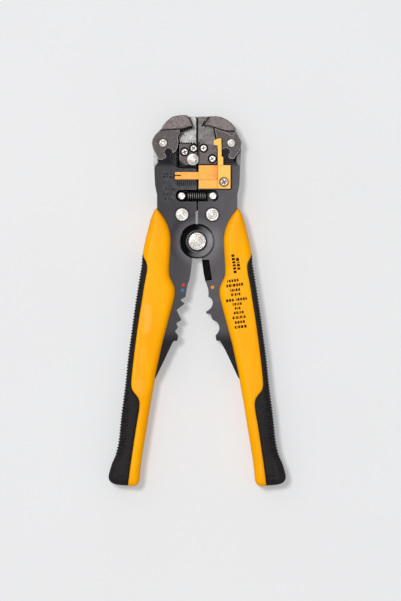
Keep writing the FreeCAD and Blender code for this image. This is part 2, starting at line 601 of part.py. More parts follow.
# ---- length stop -------------------------------------------------------------------------
S0 = 6.6
STOP_SCREW = (14.74, 32.6)
low = box(0.83, 11.4, 29.0, 41.8, S0, 8.1)
ledge = box(0.83, 11.4, 29.0, 33.7, S0, 8.8)
high = box(11.33, 18.3, 29.0, 41.8, S0, 10.0)
arm = prism([(1.0, 34.1), (-12.2, 34.1), (-12.2, 35.9), (-9.0, 35.9), (-9.0, 36.6), (-12.2, 36.6),
             (-12.2, 38.1), (1.0, 38.1)], S0, 7.9)
stem = prism([(11.33, 41.7), (14.3, 41.7), (14.3, 46.3), (13.37, 46.9), (13.37, 53.0), (11.33, 53.0)], 7.65, 9.7)
hookh = prism([(9.13, 55.55), (12.27, 56.65), (13.26, 56.54), (13.26, 52.9), (11.2, 52.7), (9.13, 53.1)], 7.65, 9.9)
neck = box(SLOT_X0, SLOT_X0 + 3.2, SLOT_Y - 1.1, SLOT_Y + 1.1, 4.1, S0 + 0.1)
foot = box(SLOT_X0, SLOT_X0 + 3.2, SLOT_Y - 2.05, SLOT_Y + 2.05, 4.1, 5.0)
stop = fuse([low, ledge, high, arm, stem, hookh, neck, foot])
stop = cut(stop, [cyl(*STOP_SCREW, 2.6, 8.6, 12), cyl(*STOP_SCREW, 1.25, 0, 12),
                  box(6.4, 11.33, 36.2, 36.8, 7.9, 9)])
save("length_stop", one_solid(stop))
ls = cross_screw(STOP_SCREW[0], STOP_SCREW[1], 8.65, 2.25, 1.1, 1.2, 6.55, 30)
save("stop_lock_screw", one_solid(ls))

# ---- grips ----------------------------------------------------------------------------------
GRIP_OUTER = [(-23.04, 17.9), (-24.42, 15.29), (-25.52, 12.27), (-26.51, 8.69), (-27.45, 5.0),
              (-28.43, 1.0), (-29.26, -2.9), (-30.08, -7.4), (-30.91, -12.6), (-31.95, -19.0),
              (-33.05, -25.8), (-34.38, -34.4), (-35.64, -43.2), (-36.79, -52.0), (-38.01, -60.8),
              (-38.99, -69.6), (-39.87, -78.4), (-41.0, -87.2), (-41.9, -94.0), (-42.6, -100.5),
              (-43.39, -108.5), (-44.4, -114.0), (-46.0, -119.5), (-47.6, -124.2), (-48.7, -128.3)]
GRIP_FOOT = [(-48.7, -128.3), (-48.75, -130.6), (-47.3, -132.7), (-44.93, -133.75), (-42.18, -134.15),
             (-38.22, -134.45), (-35.6, -134.75), (-33.4, -134.2), (-32.1, -132.6), (-31.6, -130.6)]
GRIP_INNER = [(-31.6, -130.6), (-31.2, -125.5), (-30.2, -118.0), (-28.8, -109.3), (-27.35, -100.5),
              (-25.95, -91.7), (-24.4, -82.9), (-22.8, -74.0), (-20.9, -65.2), (-19.0, -56.4),
              (-16.9, -48.6), (-14.9, -41.0), (-13.1, -34.2), (-12.1, -29.3), (-12.2, -25.8),
              (-13.5, -22.3), (-14.8, -19.5), (-15.2, -16.2), (-15.0, -11.0), (-14.6, -4.5),
              (-14.4, 0.5), (-14.9, 5.0), (-16.2, 9.2), (-18.2, 13.1), (-20.8, 16.7)]
GRIP_TIP = [(-20.8, 16.7), (-21.6, 17.6), (-22.3, 18.1), (-23.04, 17.9)]
# border between the hard shell and the soft strip
BORDER = [(-30.0, -6.6), (-29.26, -9.18), (-28.27, -10.83), (-27.6, -12.9), (-27.55, -15.4),
          (-28.11, -19.08), (-28.98, -23.48), (-30.36, -32.28), (-31.79, -41.08), (-33.05, -49.88),
          (-34.21, -58.68), (-35.26, -67.48), (-36.13, -76.28), (-36.2, -79.4), (-35.8, -81.2),
          (-35.03, -82.61), (-33.66, -84.26), (-32.51, -85.91), (-31.84, -87.83), (-31.75, -90.2),
          (-32.06, -92.78), (-33.38, -100.48), (-34.7, -109.28), (-35.97, -118.09), (-37.18, -126.89),
          (-38.06, -134.48)]


def sample(pts, step):
    """Evenly spaced points on the smooth curve through pts, both ends kept."""
    c = Part.BSplineCurve()
    c.interpolate([V(x, y, 0) for x, y in pts])
    n = max(2, int(round(c.length() / step)))
    return [(p.x, p.y) for p in c.discretize(Number=n + 1)]


def grip_outline():
    pts = sample(GRIP_OUTER, 3.6)[:-1] + sample(GRIP_FOOT, 2.0)[:-1]
    pts += sample(GRIP_INNER, 3.6)[:-1] + sample(GRIP_TIP, 1.0)[:-1]
    return pts


def inset(pts, d):
    """Move every corner inwards; less near the narrow tip."""
    n = len(pts)
    area = sum(pts[i][0] * pts[(i + 1) % n][1] - pts[(i + 1) % n][0] * pts[i][1] for i in range(n))
    sgn = 1 if area > 0 else -1
    out = []
    for i in range(n):
        x0, y0 = pts[i - 1]
        x1, y1 = pts[(i + 1) % n]
        L = math.hypot(x1 - x0, y1 - y0)
        nx, ny = -(y1 - y0) / L * sgn, (x1 - x0) / L * sgn
        f = min(1.0, max(0.25, (19.5 - pts[i][1]) / 12.0))
        out.append((pts[i][0] + nx * d * f, pts[i][1] + ny * d * f))
    return out


def tri(a, b, c):
    return Part.Face(Part.makePolygon([a, b, c, a]))


def grip_body():
    pts = grip_outline()
    rings = []
    for z, d in ((-GRIP_Z, 3.0), (-8.3, 1.25), (-7.1, 0.3), (-5.4, 0.0), (5.4, 0.0), (7.1, 0.3),
                 (8.3, 1.25), (GRIP_Z, 3.0)):
        rings.append([V(x, y, z) for x, y in (inset(pts, d) if d else pts)])
    n = len(pts)
    faces = []
    for lo, hi in zip(rings[:-1], rings[1:]):
        for i in range(n):
            j = (i + 1) % n
            faces.append(tri(lo[i], lo[j], hi[j]))
            faces.append(tri(lo[i], hi[j], hi[i]))
    for ring in (rings[0], rings[-1]):
        faces.append(Part.Face(Part.makePolygon(ring + [ring[0]])))
    shell = Part.makeShell(faces)
    solid = Part.Solid(shell)
    if solid.Volume < 0:
        solid.reverse()
    return solid


border = sample(BORDER, 3.0)
region = prism(border + [(-38.06, -145), (-70, -145), (-70, -5.6), (-30.6, -5.6)], -20, 20)
grip = grip_body()
tang_l = prism(left_plate_pts, -PLATE_OUT, PLATE_OUT)
tang_r = prism(mirror_pts(right_plate_pts), -PLATE_OUT, PLATE_OUT)
for side, tang in (("left", tang_l), ("right", tang_r)):
    g = cut(grip, tang)
    shell = g.cut(region)
    soft = g.common(region)
    if side == "right":
        shell, soft = mirrored(shell), mirrored(soft)
    save(side + "_grip", one_solid(shell))
    save(side + "_grip_rubber", one_solid(soft))
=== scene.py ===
import math
import bpy
import bmesh
import numpy as np
from mathutils import Vector, Matrix
from mathutils.geometry import delaunay_2d_cdt


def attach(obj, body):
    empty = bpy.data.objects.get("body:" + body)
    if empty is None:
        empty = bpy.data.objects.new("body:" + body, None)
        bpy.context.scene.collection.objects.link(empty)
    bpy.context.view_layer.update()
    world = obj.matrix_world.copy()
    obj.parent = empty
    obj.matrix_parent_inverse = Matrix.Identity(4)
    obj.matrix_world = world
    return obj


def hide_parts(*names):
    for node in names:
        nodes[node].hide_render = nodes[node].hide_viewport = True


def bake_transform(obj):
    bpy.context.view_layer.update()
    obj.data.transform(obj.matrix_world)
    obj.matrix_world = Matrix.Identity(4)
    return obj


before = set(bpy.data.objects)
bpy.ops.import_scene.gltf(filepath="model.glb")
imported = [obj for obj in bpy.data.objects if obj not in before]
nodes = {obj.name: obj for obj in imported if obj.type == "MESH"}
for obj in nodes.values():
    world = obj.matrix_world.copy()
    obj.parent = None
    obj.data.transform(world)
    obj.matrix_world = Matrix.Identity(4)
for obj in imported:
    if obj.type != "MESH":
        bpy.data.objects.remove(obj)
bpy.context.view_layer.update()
MM = 0.001


# ============================================================ material kit
class G:
    """Small helper round one material's node tree."""

    def __init__(self, name):
        self.m = bpy.data.materials.new(name)
        self.m.use_nodes = True
        self.nt = self.m.node_tree
        self.b = self.nt.nodes["Principled BSDF"]
        tc = self.nt.nodes.new("ShaderNodeTexCoord")
        self.pos = tc.outputs["Object"]
        self.m.diffuse_color = (0.5, 0.5, 0.5, 1)

    def link(self, a, b):
        self.nt.links.new(a, b)

    def put(self, sock, v):
        if hasattr(v, "is_output") or hasattr(v, "links"):
            self.link(v, sock)
        else:
            sock.default_value = v

    def n(self, kind):
        return self.nt.nodes.new(kind)

    def scaled(self, sx, sy, sz, vec=None):
        k = self.n("ShaderNodeMapping")
        k.inputs["Scale"].default_value = (sx, sy, sz)
        self.link(vec or self.pos, k.inputs["Vector"])
        return k.outputs["Vector"]

    def noise(self, scale, detail=3.0, rough=0.5, vec=None, dist=0.0):
        k = self.n("ShaderNodeTexNoise")
        k.inputs["Scale"].default_value = scale
        k.inputs["Detail"].default_value = detail
        k.inputs["Roughness"].default_value = rough
        k.inputs["Distortion"].default_value = dist
        self.link(vec or self.pos, k.inputs["Vector"])
        return k.outputs["Fac"]

    def voronoi(self, scale, vec=None, feature="F1"):
        k = self.n("ShaderNodeTexVoronoi")
        k.feature = feature
        k.inputs["Scale"].default_value = scale
        self.link(vec or self.pos, k.inputs["Vector"])
        return k.outputs["Distance"]

    def math(self, op, a, b=0.0, c=None, clamp=False):
        k = self.n("ShaderNodeMath")
        k.operation = op
        k.use_clamp = clamp
        self.put(k.inputs[0], a)
        self.put(k.inputs[1], b)
        if c is not None:
            self.put(k.inputs[2], c)
        return k.outputs[0]

    def rng(self, v, a, b, c=0.0, d=1.0):
        k = self.n("ShaderNodeMapRange")
        k.interpolation_type = "SMOOTHSTEP"
        self.put(k.inputs["Value"], v)
        for key, val in (("From Min", a), ("From Max", b), ("To Min", c), ("To Max", d)):
            k.inputs[key].default_value = val
        return k.outputs["Result"]

    def mix(self, fac, a, b):
        k = self.n("ShaderNodeMix")
        k.data_type = "RGBA"
        self.put(k.inputs["Factor"], fac)
        for key, v in ((6, a), (7, b)):
            if isinstance(v, (tuple, list)):
                v = tuple(v) + (1.0,) * (4 - len(v))
            self.put(k.inputs[key], v)
        return k.outputs[2]

    def sep(self, vec=None):
        k = self.n("ShaderNodeSeparateXYZ")
        self.link(vec or self.pos, k.inputs[0])
        return k.outputs

    def radial(self, cx, cy):
        """Distance in metres from a Z axis through (cx, cy) mm."""
        s = self.sep()
        dx = self.math("SUBTRACT", s[0], cx * MM)
        dy = self.math("SUBTRACT", s[1], cy * MM)
        return self.math("SQRT", self.math("ADD", self.math("MULTIPLY", dx, dx), self.math("MULTIPLY", dy, dy)))

    def bump(self, h, strength, distance, normal=None):
        k = self.n("ShaderNodeBump")
        k.inputs["Strength"].default_value = strength
        k.inputs["Distance"].default_value = distance
        self.put(k.inputs["Height"], h)
        if normal is not None:
            self.link(normal, k.inputs["Normal"])
        return k.outputs["Normal"]

    def edge(self, radius, lo=0.02, hi=0.25, samples=4):
        """About 1 on sharp edges, 0 on flats."""
        k = self.n("ShaderNodeBevel")
        k.samples = samples
        k.inputs["Radius"].default_value = radius
        g = self.n("ShaderNodeNewGeometry")
        d = self.n("ShaderNodeVectorMath")
        d.operation = "DOT_PRODUCT"
        self.link(k.outputs["Normal"], d.inputs[0])
        self.link(g.outputs["Normal"], d.inputs[1])
        return self.rng(self.math("SUBTRACT", 1.0, d.outputs["Value"]), lo, hi)

    def up(self):
        """Z part of the true face normal."""
        g = self.n("ShaderNodeNewGeometry")
        return self.sep(g.outputs["True Normal"])[2]

    def band(self, v, lo, hi, soft):
        """1 between lo and hi."""
        return self.math("MULTIPLY", self.rng(v, lo - soft, lo), self.rng(v, hi + soft, hi))

    def line(self, pts, half, soft=0.15):
        """1 within half (mm) of a polyline given in mm, seen from the front."""
        sx = self.sep()
        best = None
        for (x0, y0), (x1, y1) in zip(pts, pts[1:]):
            dx, dy = (x1 - x0), (y1 - y0)
            L2 = dx * dx + dy * dy
            ax = self.math("SUBTRACT", sx[0], x0 * MM)
            ay = self.math("SUBTRACT", sx[1], y0 * MM)
            t = self.math("MULTIPLY_ADD", ax, dx / L2 / MM, self.math("MULTIPLY", ay, dy / L2 / MM))
            t = self.math("MAXIMUM", self.math("MINIMUM", t, 1.0), 0.0)
            ex = self.math("MULTIPLY_ADD", t, -dx * MM, ax)
            ey = self.math("MULTIPLY_ADD", t, -dy * MM, ay)
            d2 = self.math("ADD", self.math("MULTIPLY", ex, ex), self.math("MULTIPLY", ey, ey))
            best = d2 if best is None else self.math("MINIMUM", best, d2)
        return self.rng(self.math("SQRT", best), (half + soft) * MM, half * MM)

    def rect(self, x0, x1, y0, y1, soft=0.06):
        """1 inside an XY rectangle given in mm."""
        s = self.sep()
        return self.math("MULTIPLY", self.band(s[0], x0 * MM, x1 * MM, soft * MM),
                         self.band(s[1], y0 * MM, y1 * MM, soft * MM))

    def most(self, *v):
        out = v[0]
        for k in v[1:]:
            out = self.math("MAXIMUM", out, k)
        return out

    def inv(self, v, k=1.0):
        return self.math("MULTIPLY_ADD", v, -k, k)

    def crevice(self, dist, lo=0.35, hi=0.8, samples=4):
        """1 deep in a corner or joint, 0 in the open."""
        k = self.n("ShaderNodeAmbientOcclusion")
        k.samples = samples
        k.inputs["Distance"].default_value = dist
        return self.rng(k.outputs["AO"], hi, lo)

    def out(self, color=None, rough=None, metal=None, normal=None, coat=None, coat_rough=None, spec=None):
        b = self.b
        if color is not None:
            if isinstance(color, (tuple, list)):
                color = tuple(color) + (1.0,) * (4 - len(color))
            self.put(b.inputs["Base Color"], color)
        if rough is not None:
            self.put(b.inputs["Roughness"], rough)
        if metal is not None:
            self.put(b.inputs["Metallic"], metal)
        if normal is not None:
            self.link(normal, b.inputs["Normal"])
        if coat is not None:
            self.put(b.inputs["Coat Weight"], coat)
        if coat_rough is not None:
            self.put(b.inputs["Coat Roughness"], coat_rough)
        if spec is not None:
            self.put(b.inputs["Specular IOR Level"], spec)
        return self.m


# ============================================================ materials
def m_plate():
    """Black-oxide steel, satin: darker on the left lever, greyer on the right, coined rim round the hub with a painted
    highlight.
    """
    g = G("plate_black_oxide")
    s = g.sep()
    side = g.rng(s[0], -0.013, 0.013)
    low = g.rng(s[1], 0.035, -0.02)
    cloud = g.noise(70, 3, 0.55)
    fine = g.noise(1500, 2, 0.6)
    a = g.mix(low, (0.011, 0.0100, 0.0125), (0.024, 0.0215, 0.0255))
    b = g.mix(low, (0.050, 0.047, 0.054), (0.055, 0.051, 0.058))
    col = g.mix(side, a, b)
    col = g.mix(g.rng(cloud, 0.38, 0.72, 0.0, 0.22), col, (0.062, 0.058, 0.066))
    deep = g.rng(s[1], -0.027, -0.048)
    shut = g.mix(side, (0.016, 0.014, 0.0165), (0.034, 0.031, 0.037))
    col = g.mix(g.math("MULTIPLY", deep, 0.85), col, shut)
    # thin lower legs
    legs = g.rng(s[1], -0.0475, -0.0560)
    col = g.mix(g.math("MULTIPLY", legs, 0.9), col, (0.006, 0.005, 0.0065))
    # the necks that carry the drive knobs are almost black
    neck = g.rng(s[1], 0.0405, 0.0435)
    col = g.mix(g.math("MULTIPLY", neck, 0.85), col, (0.012, 0.011, 0.013))
    r = g.radial(0, 0)
    # painted highlight: a lighter ring round the hub recess
    halo = g.math("MULTIPLY", g.rng(r, 0.0150, 0.0098), g.rng(r, 0.0094, 0.0099))
    col = g.mix(g.math("MULTIPLY", halo, 0.42), col, (0.12, 0.115, 0.123))
    # painted highlight along the edges
    e = g.edge(0.00035)
    col = g.mix(g.math("MULTIPLY", e, 0.5), col, (0.30, 0.29, 0.30))
    # engraved scale filled with black
    u = g.math("MULTIPLY_ADD", s[0], 1.0 / (1.09 * MM), 10.0)
    off = g.math("ABSOLUTE", g.math("SUBTRACT", u, g.math("ROUND", u)))
    scale = g.math("MULTIPLY", g.rng(off, 0.33, 0.22), g.rect(-11.3, -0.75, 30.6, 33.3))
    for dy, dh, row in ((35.1, 0.55, ((-18.9, 1.2), (-16.9, 0.7), (-15.3, 1.3), (-13.1, 0.6))),
                        (37.0, 0.5, ((-18.6, 0.8), (-17.1, 1.2), (-15.0, 0.6))),
                        (28.4, 0.55, ((-17.6, 0.9), (-15.9, 0.6), (-13.6, 1.1))),
                        (25.6, 0.55, ((-18.3, 0.6), (-16.9, 1.1), (-14.8, 0.6))),
                        (22.9, 0.55, ((-18.0, 1.1), (-16.0, 0.6), (-14.6, 0.9)))):
        for dx, dw in row:
            scale = g.most(scale, g.math("MULTIPLY", g.rect(dx, dx + dw, dy - 0.1, dy + dh + 0.1), 0.9))
    scale = g.math("MULTIPLY", scale, g.rng(s[2], 0.0060, 0.0061))
    # handled plate is a little lighter round the scale
    patch = g.math("MULTIPLY", g.rect(-17.0, 2.0, 24.0, 38.0, 4.0), g.rng(g.noise(420, 3, 0.6), 0.38, 0.62, 0.0, 0.5))
    col = g.mix(patch, col, (0.060, 0.056, 0.064))
    # thin shadow line round each rivet head, and round the recess
    rim = g.most(g.band(g.radial(-8.36, 14.74), 0.00355, 0.00395, 0.00015),
                 g.band(g.radial(8.36, 14.74), 0.00355, 0.00395, 0.00015),
                 g.math("MULTIPLY", g.rng(r, 0.00985, 0.0097), g.rng(s[0], 0.0080, 0.0, 0.35, 1.0)))
    # black: the engraving, painted shade in crevices, and the painted shadow lines
    black = g.most(g.math("MULTIPLY", scale, 0.9), g.math("MULTIPLY", g.crevice(0.0018, 0.40, 0.84), 0.92),
                   g.math("MULTIPLY", rim, 0.85))
    col = g.mix(black, col, (0.002, 0.002, 0.002))
    brush = g.noise(260, 3, 0.6, g.scaled(6.0, 0.35, 1.0))
    h = g.math("ADD", g.math("MULTIPLY", fine, 0.5), g.math("MULTIPLY", brush, 0.5))
    nrm = g.bump(h, 0.12, 0.0002)
    nrm = g.bump(g.rng(r, 0.0090, 0.0165), 0.5, 0.0006, nrm)
    dull = g.most(black, g.math("MULTIPLY", neck, 0.9), g.math("MULTIPLY", legs, 0.7))
    return g.out(col, g.rng(cloud, 0.3, 0.7, 0.34, 0.48), 0.15, nrm, spec=g.inv(dull, 0.20))


def m_core():
    g = G("core_black_oxide")
    s = g.sep()
    fine = g.noise(1100, 3, 0.6)
    cloud = g.noise(90, 3, 0.5)
    r = g.radial(0, 0)
    ringed = g.math("SINE", g.math("MULTIPLY", r, 6283.0 / 0.55))
    col = g.mix(g.rng(cloud, 0.35, 0.7), (0.030, 0.028, 0.032), (0.060, 0.057, 0.064))
    hub = g.rng(r, 0.0092, 0.0089)
    col = g.mix(g.math("MULTIPLY", hub, 0.8), col, (0.066, 0.063, 0.070))
    # painted light on the ring: lighter grey towards the lower right where the recess floor is lit, and a painted
    # shadow keeping it black in the crescent and at its rim, most on the left
    lean = g.math("ADD", s[0], g.math("MULTIPLY", s[1], -0.35))
    shade = g.math("MULTIPLY", g.rng(lean, 0.0022, -0.0040), g.rng(r, 0.0056, 0.0066))
    col = g.mix(g.math("MULTIPLY", g.math("MULTIPLY", g.rng(lean, 0.0015, 0.0070), hub), 0.85), col, (0.165, 0.158, 0.168))
    shade = g.most(shade, g.math("MULTIPLY", g.rng(r, 0.0083, 0.0090), g.rng(lean, 0.0080, 0.0010, 0.40, 1.0)))
    col = g.mix(g.math("MULTIPLY", shade, 0.96), col, (0.002, 0.002, 0.002))
    # painted highlight along the edges
    e = g.edge(0.0003)
    col = g.mix(g.math("MULTIPLY", e, 0.35), col, (0.22, 0.21, 0.22))
    # painted shade in crevices and in the crescent, and a dark ring round the pin head
    black = g.most(g.math("MULTIPLY", g.crevice(0.0010), 0.9), g.math("MULTIPLY", shade, 0.96),
                   g.band(r, 0.0050, 0.0054, 0.00015))
    col = g.mix(black, col, (0.002, 0.002, 0.002))
    h = g.math("ADD", g.math("MULTIPLY", fine, 0.6), g.math("MULTIPLY", g.math("MULTIPLY", ringed, hub), 0.15))
    return g.out(col, g.rng(cloud, 0.3, 0.7, 0.38, 0.55), 0.2, g.bump(h, 0.2, 0.0002), spec=g.inv(black, 0.3))


def m_carrier():
    """Bead-blasted bare steel with darker handling stains on the right-hand wall."""
    g = G("carrier_blasted_steel")
    s = g.sep()
    ax = g.math("ABSOLUTE", s[0])
    grain = g.noise(1700, 4, 0.75)
    cell = g.voronoi(1300)
    cloud = g.noise(230, 4, 0.6, dist=0.4)
    a = g.mix(g.rng(cloud, 0.35, 0.68), (0.16, 0.163, 0.160), (0.56, 0.565, 0.55))
    a = g.mix(g.rng(g.noise(650, 4, 0.7), 0.46, 0.60, 0.0, 0.55), a, (0.12, 0.122, 0.12))
    a = g.mix(g.rng(grain, 0.45, 0.65, 0.0, 0.8), a, (0.62, 0.62, 0.60))
    stain = g.mix(g.rng(g.noise(160, 4, 0.6), 0.4, 0.62), (0.090, 0.084, 0.080), (0.175, 0.165, 0.158))
    stain = g.mix(g.rng(grain, 0.48, 0.66, 0.0, 0.6), stain, (0.30, 0.285, 0.27))
    col = g.mix(g.rng(s[0], 0.0002, 0.0008), a, stain)
    # painted shade: the carrier is darker below about y 40 mm, where it lies under the plates
    col = g.mix(g.math("MULTIPLY", g.rng(s[1], 0.044, 0.036), 0.88), col, (0.03, 0.028, 0.031))
    # painted highlight along the edges
    e = g.edge(0.0003)
    col = g.mix(g.math("MULTIPLY", e, 0.35), col, (0.66, 0.65, 0.62))
    # painted shade: black on the thick faces, in the cavity beside the left block, and beside and below that block; the
    # joint between the two halves is a dark line
    thick = g.math("MULTIPLY", g.rng(s[2], 0.0020, 0.0030), g.rng(ax, 0.0222, 0.0212))
    well = g.math("MULTIPLY", g.band(s[0], -0.0180, -0.0120, 0.0005), g.band(s[1], 0.0380, 0.0500, 0.001))
    thick = g.math("MULTIPLY", thick, g.inv(g.math("MULTIPLY", well, 0.45)))
    col = g.mix(g.math("MULTIPLY", well, 0.96), col, (0.019, 0.018, 0.019))
    black = g.math("MAXIMUM", thick, g.math("MULTIPLY", g.band(s[0], -0.0113, -0.00975, 0.0003), g.rng(s[1], 0.0556, 0.0548)))
    under = g.math("MULTIPLY", g.band(s[0], -0.0100, -0.0030, 0.0002), g.rng(s[1], 0.0460, 0.0455))
    black = g.math("MAXIMUM", black, g.math("MULTIPLY", under, 0.93))
    joint = g.math("MULTIPLY", g.rng(ax, 0.00066, 0.00052), g.rng(s[1], 0.0165, 0.0170))
    black = g.math("MAXIMUM", black, joint)
    # painted shade in crevices
    black = g.math("MAXIMUM", black, g.math("MULTIPLY", g.crevice(0.0006, 0.25, 0.6), 0.6))
    # painted shadow: dark lines on the wall along the edges of the cheeks and noses
    wall_shadow_line = g.most(g.line(((9.3, 62.4), (9.95, 59.0), (10.35, 56.4)), 0.38),
                  g.math("MULTIPLY", g.line(((-8.1, 60.6), (-9.7, 59.2), (-10.5, 57.4), (-10.0, 55.0)), 0.25), 0.7),
                  g.math("MULTIPLY", g.line(((-5.0, 69.3), (-3.55, 66.7), (-2.35, 63.9)), 0.22), 0.7),
                  g.line(((4.2, 66.0), (3.2, 64.2), (2.8, 63.4)), 0.35))
    black = g.most(black, g.math("MULTIPLY", wall_shadow_line, g.rng(s[2], -0.0004, -0.0007)))
    u = g.math("MULTIPLY_ADD", s[0], 1.0 / (1.27 * MM), 20.32)
    tooth = g.rng(g.math("ABSOLUTE", g.math("SUBTRACT", u, g.math("ROUND", u))), 0.36, 0.24)
    saw = g.most(g.line(((-9.2, 60.95), (-3.0, 62.95)), 0.30, 0.2),
                 g.math("MULTIPLY", tooth, g.line(((-9.2, 60.45), (-3.0, 62.45)), 0.55, 0.2)))
    black = g.most(black, g.math("MULTIPLY", saw, g.rng(s[0], -0.0024, -0.0028)))
    rib = g.math("MULTIPLY", g.math("MULTIPLY", g.rng(s[2], 0.0040, 0.00405), g.rng(ax, 0.0016, 0.0014)),
                 g.rng(s[1], 0.0175, 0.0170))
    black = g.math("MULTIPLY", black, g.inv(rib))
    col = g.mix(rib, col, (0.62, 0.61, 0.60))
    col = g.mix(g.math("MULTIPLY", black, 0.97), col, (0.003, 0.003, 0.003))
    h = g.math("ADD", grain, g.math("MULTIPLY", cell, 0.6))
    return g.out(col, g.rng(cloud, 0.3, 0.7, 0.42, 0.6), 0.25, g.bump(h, 0.45, 0.0003), spec=g.inv(black, 0.4))


def m_cast(name, tint, edge_mix=0.6, wide=0.0006, nose=None, holes=(), teeth_y=None):
    """Sintered jaw steel: warm brown-grey, pitted, with a painted highlight along its edges."""
    g = G(name)
    s = g.sep()
    grain = g.noise(1500, 4, 0.7)
    pit = g.voronoi(900)
    cloud = g.noise(190, 4, 0.6, dist=0.3)
    k = 0.72
    dark = tuple(c * k for c in tint)
    light = tuple(min(1.0, c * 1.35) for c in tint)
    col = g.mix(g.rng(cloud, 0.33, 0.7), dark, light)
    worn = g.rng(g.noise(620, 4, 0.68), 0.42, 0.62)
    if nose:
        # the proud noses are handled bright
        proud = g.rng(s[2], 0.00665, 0.0069)
        shine = g.mix(g.rng(cloud, 0.33, 0.7), tuple(c * 0.85 for c in nose), tuple(c * 1.2 for c in nose))
        col = g.mix(proud, col, shine)
    col = g.mix(g.math("MULTIPLY", worn, 0.42), col, tuple(c * 0.55 for c in tint))
    col = g.mix(g.rng(grain, 0.5, 0.75, 0.0, 0.4), col, tuple(c * 0.5 for c in tint))
    col = g.mix(g.rng(g.noise(1150, 3, 0.7), 0.56, 0.70, 0.0, 0.42), col, (0.27, 0.235, 0.225))
    # painted highlight along the edges
    e = g.edge(wide, 0.01, 0.2, 6)
    col = g.mix(g.math("MULTIPLY", e, edge_mix), col, (0.50, 0.455, 0.44))
    # painted shade in crevices and inside the screw holes
    black = g.math("MULTIPLY", g.crevice(0.0012, 0.35, 0.8), 0.95)
    for x, y, rr in holes:
        black = g.math("MAXIMUM", black, g.rng(g.radial(x, y), rr * MM + 0.0002, rr * MM))
    if teeth_y:
        black = g.math("MAXIMUM", black, g.rng(s[1], (teeth_y - 0.15) * MM, teeth_y * MM))
    if nose:
        # painted shade on the steep sides of the proud noses
        side = g.math("MULTIPLY", g.rng(g.up(), 0.35, 0.15), g.rng(s[2], 0.0040, 0.0041))
        black = g.math("MAXIMUM", black, g.math("MULTIPLY", side, 0.8))
        # serrations under the left nose
        ser = g.math("MULTIPLY", g.band(s[0], -0.0096, -0.0024, 0.0001), g.band(s[1], 0.0598, 0.0634, 0.0001))
        black = g.most(black, g.math("MULTIPLY", ser, g.rng(s[2], 0.00662, 0.00655)))
        # dark lines where the proud noses step down to the cheeks, the joint with a painted shadow under the nose
        # edges, and dark rings round the pin heads
        joint = g.most(g.line(((-20.0, 61.0), (-18.9, 61.15), (-7.9, 61.75), (-2.8, 63.3)), 0.20),
                       g.line(((21.4, 60.6), (18.0, 60.5), (15.3, 60.6), (12.0, 61.6), (8.1, 63.0), (4.7, 64.0)), 0.20),
                       g.band(g.radial(-18.75, 54.07), 0.0023, 0.0026, 0.0001),
                       g.band(g.radial(18.75, 54.07), 0.0023, 0.0026, 0.0001))
        black = g.most(black, g.math("MULTIPLY", joint, g.math("MULTIPLY", g.rng(s[2], 0.0068, 0.0066), 0.9)))
    col = g.mix(black, col, (0.008, 0.006, 0.006))
    scratch = g.noise(420, 2, 0.5, g.scaled(0.25, 5.0, 1.0))
    h = g.math("ADD", g.math("MULTIPLY", grain, 0.8), g.math("MULTIPLY", pit, -0.5))
    h = g.math("ADD", h, g.math("MULTIPLY", scratch, 0.4))
    return g.out(col, g.rng(cloud, 0.3, 0.7, 0.38, 0.55), 0.3, g.bump(h, 0.35, 0.0003), spec=g.inv(black, 0.3))


def m_turned(name, cx, cy, pitch=0.62, base=(0.50, 0.485, 0.468), dark=(0.18, 0.145, 0.125), mottled=0.0, rim=None,
             rings=(), sunk=None):
    """Turned and lightly polished steel head: concentric tool marks round its own axis."""
    g = G(name)
    s = g.sep()
    r = g.radial(cx, cy)
    wob = g.noise(600, 2, 0.5)
    rr = g.math("ADD", r, g.math("MULTIPLY", g.math("SUBTRACT", wob, 0.5), 0.00016))
    wave = g.math("SINE", g.math("MULTIPLY", rr, 6283.0 / pitch))
    fine = g.math("SINE", g.math("MULTIPLY", rr, 6283.0 / (pitch * 0.31)))
    ring = g.rng(wave, -1.0, 0.2)
    blot = g.noise(900, 3, 0.7)
    col = g.mix(ring, tuple(0.30 * d + 0.70 * b for d, b in zip(dark, base)), base)
    col = g.mix(g.rng(blot, 0.45, 0.72, 0.0, 0.25 + mottled), col, dark)
    broken = g.rng(g.noise(350, 2, 0.6), 0.36, 0.56, 0.25, 1.0)
    for q in rings:
        line = g.band(rr, (q - 0.09) * MM, (q + 0.09) * MM, 0.0001)
        col = g.mix(g.math("MULTIPLY", g.math("MULTIPLY", line, broken), 0.80), col, (0.21, 0.15, 0.12))
    # painted shade: darker towards the head's rim and beyond it, and dark brown in the sunken cross recess
    if rim:
        col = g.mix(g.rng(r, rim * MM * 0.88, rim * MM * 0.99, 0.0, 0.85), col, (0.10, 0.065, 0.045))
    if sunk is not None:
        low = g.rng(s[2], sunk * MM, (sunk - 0.12) * MM)
        col = g.mix(g.math("MULTIPLY", low, 0.96), col, (0.055, 0.022, 0.012))
    h = g.math("ADD", g.math("MULTIPLY", wave, 0.6), g.math("MULTIPLY", fine, 0.3))
    nrm = g.bump(h, 0.18, 0.00012)
    nrm = g.bump(blot, 0.08 + mottled, 0.0002, nrm)
    return g.out(col, g.rng(blot, 0.3, 0.7, 0.28, 0.44), 0.45, nrm)


def m_blade():
    g = G("blade_hardened_black")
    s = g.noise(900, 3, 0.6, g.scaled(0.3, 3.0, 1.0))
    c = g.noise(300, 3, 0.5)
    e = g.edge(0.0003, 0.02, 0.3)
    col = g.mix(g.rng(c, 0.4, 0.7), (0.0015, 0.0015, 0.0018), (0.005, 0.0048, 0.0052))
    # painted highlight along the edges
    col = g.mix(g.math("MULTIPLY", e, 0.25), col, (0.14, 0.13, 0.13))
    return g.out(col, 0.5, 0.1, g.bump(s, 0.2, 0.0002), spec=0.02)


